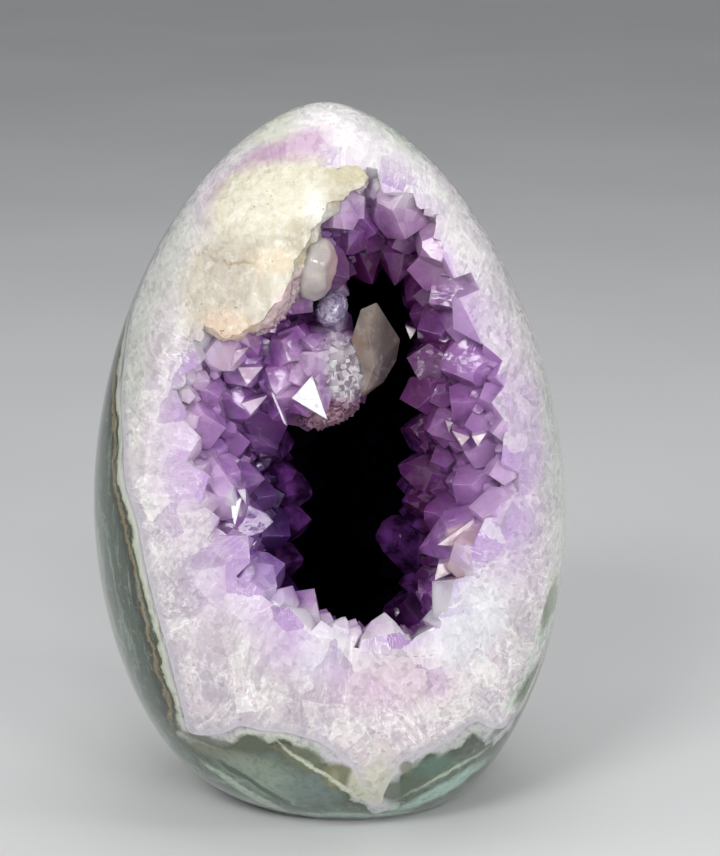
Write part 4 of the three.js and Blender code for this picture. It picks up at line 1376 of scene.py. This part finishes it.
def clear_calcite_material(name, light, dark, tints):
    """A cloudy, half see-through calcite"""
    make = Nodes(name)
    ragged = make.warped(160, 2.5)
    colour = make.ramp(make.noise(220, 5, 0.6, at=ragged), [(0.35, *dark), (0.62, *light)])
    colour = make.patches(colour, ragged, tints)
    veil = make.noise(340, 5, 0.7, at=make.warped(90, 5))
    colour = make.lay(colour, (224, 214, 206), veil, 0.54, 0.68, 0.4)
    make.set(base_color=colour, roughness=0.08, ior=1.58, transmission_weight=0.45,
             subsurface_weight=0.5, subsurface_scale=0.002,
             normal=make.bump(make.noise(330, 4, 0.6), 0.3, 0.0005))
    return make.material


def floor_material():
    make = Nodes("studio_floor")
    dark, light = FLOOR_GREYS
    make.set(base_color=make.ramp(make.noise(6, 2), [(0.3, *[dark] * 3), (0.7, *[light] * 3)]),
             roughness=0.6)
    return make.material


# Stage

def camera_place():
    back = Vector((0, -math.cos(CAMERA_ELEVATION), math.sin(CAMERA_ELEVATION)))
    return (Vector(CAMERA_TARGET) + back * CAMERA_DISTANCE) * MM + SHIFT


def aimed(name, data, place, target):
    """A camera or a light at a place, turned to a target"""
    thing = bpy.data.objects.new(name, data)
    bpy.context.scene.collection.objects.link(thing)
    thing.location = place
    way = Vector(target) - thing.location
    thing.rotation_euler = way.to_track_quat("-Z", "Y").to_euler()
    return thing


def add_camera():
    data = bpy.data.cameras.new("camera")
    data.lens = CAMERA_LENS
    data.sensor_width = SENSOR_WIDTH
    data.dof.use_dof = False
    data.clip_start = NEAREST_SEEN
    target = Vector(CAMERA_TARGET) * MM + SHIFT
    bpy.context.scene.camera = aimed("camera", data, camera_place(), target)


def add_light(name, location, size, power):
    data = bpy.data.lights.new(name, "AREA")
    data.shape = "RECTANGLE"
    data.size, data.size_y = size
    data.energy = power
    aimed(name, data, location, LIGHTS_AIM)


def add_stage():
    bpy.ops.mesh.primitive_plane_add(size=FLOOR_SIZE)
    floor = bpy.context.object
    floor.name = "studio_floor"
    floor.data.materials.append(floor_material())
    world = bpy.data.worlds.new("studio")
    world.use_nodes = True
    sky = world.node_tree.nodes["Background"].inputs
    sky["Color"].default_value = SKY
    sky["Strength"].default_value = SKY_STRENGTH
    bpy.context.scene.world = world
    for name, (location, size, power) in LIGHTS.items():
        add_light(name, location, size, power)


def dress(piece, material, nodes):
    piece.data.materials.clear()
    piece.data.materials.append(material)
    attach(piece, "root")
    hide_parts(*nodes)


def sort_faces(crust, polished, deep):
    """Gives the faces that the polishing cut the look of the stone round them, and the faces at
    the back of the hollow a darker one with painted shade"""
    crust.data.materials.append(polished)
    crust.data.materials.append(deep)
    below = np.empty(len(crust.data.vertices), np.float32)
    crust.data.attributes["below"].data.foreach_get("value", below)
    for face in crust.data.polygons:
        depths = below[list(face.vertices)]
        if depths.max() < POLISHED_DEPTH:
            face.material_index = 1
        elif depths.mean() > PAINTED_SHADE_DEPTH:
            face.material_index = 2


def main():
    add_camera()
    add_stage()
    egg = new_object("egg", *egg_shape())
    wall = build_wall()
    crust = build_crust(egg)
    cluster = build_cluster(egg)
    knob = build_knob()
    blade = build_blade()
    bpy.data.objects.remove(egg)

    tips = pocket_shape(0)
    for piece in (wall, crust):
        points = corners_of(piece)
        set_attribute(piece, "growth", distance_to(tips, points))
        set_attribute(piece, "below", depth_below(points))
        set_attribute(piece, "rind", rind_distance(points))
    set_attribute(crust, "facet", facet_values(crust), "FACE")

    for piece, sharp_angle in ((wall, 30), (crust, 6), (cluster, 30), (knob, 60), (blade, 20)):
        to_frame(piece, sharp_angle)
    dress(wall, rind_material(), ["geode_wall"])
    dress(crust, amethyst_material(), ["amethyst_crust"])
    sort_faces(crust, wall.active_material, painted_shade_material())
    dress(cluster, cream_material(), ["calcite_cluster"])
    grey = clear_calcite_material("grey_calcite", *KNOB_COLOURS, KNOB_TINTS)
    dress(knob, grey, ["calcite_knob"])
    tan = clear_calcite_material("tan_calcite", *BLADE_COLOURS, BLADE_TINTS)
    dress(blade, tan, ["calcite_blade"])


bpy.context.scene.view_settings.view_transform = "Standard"
main()
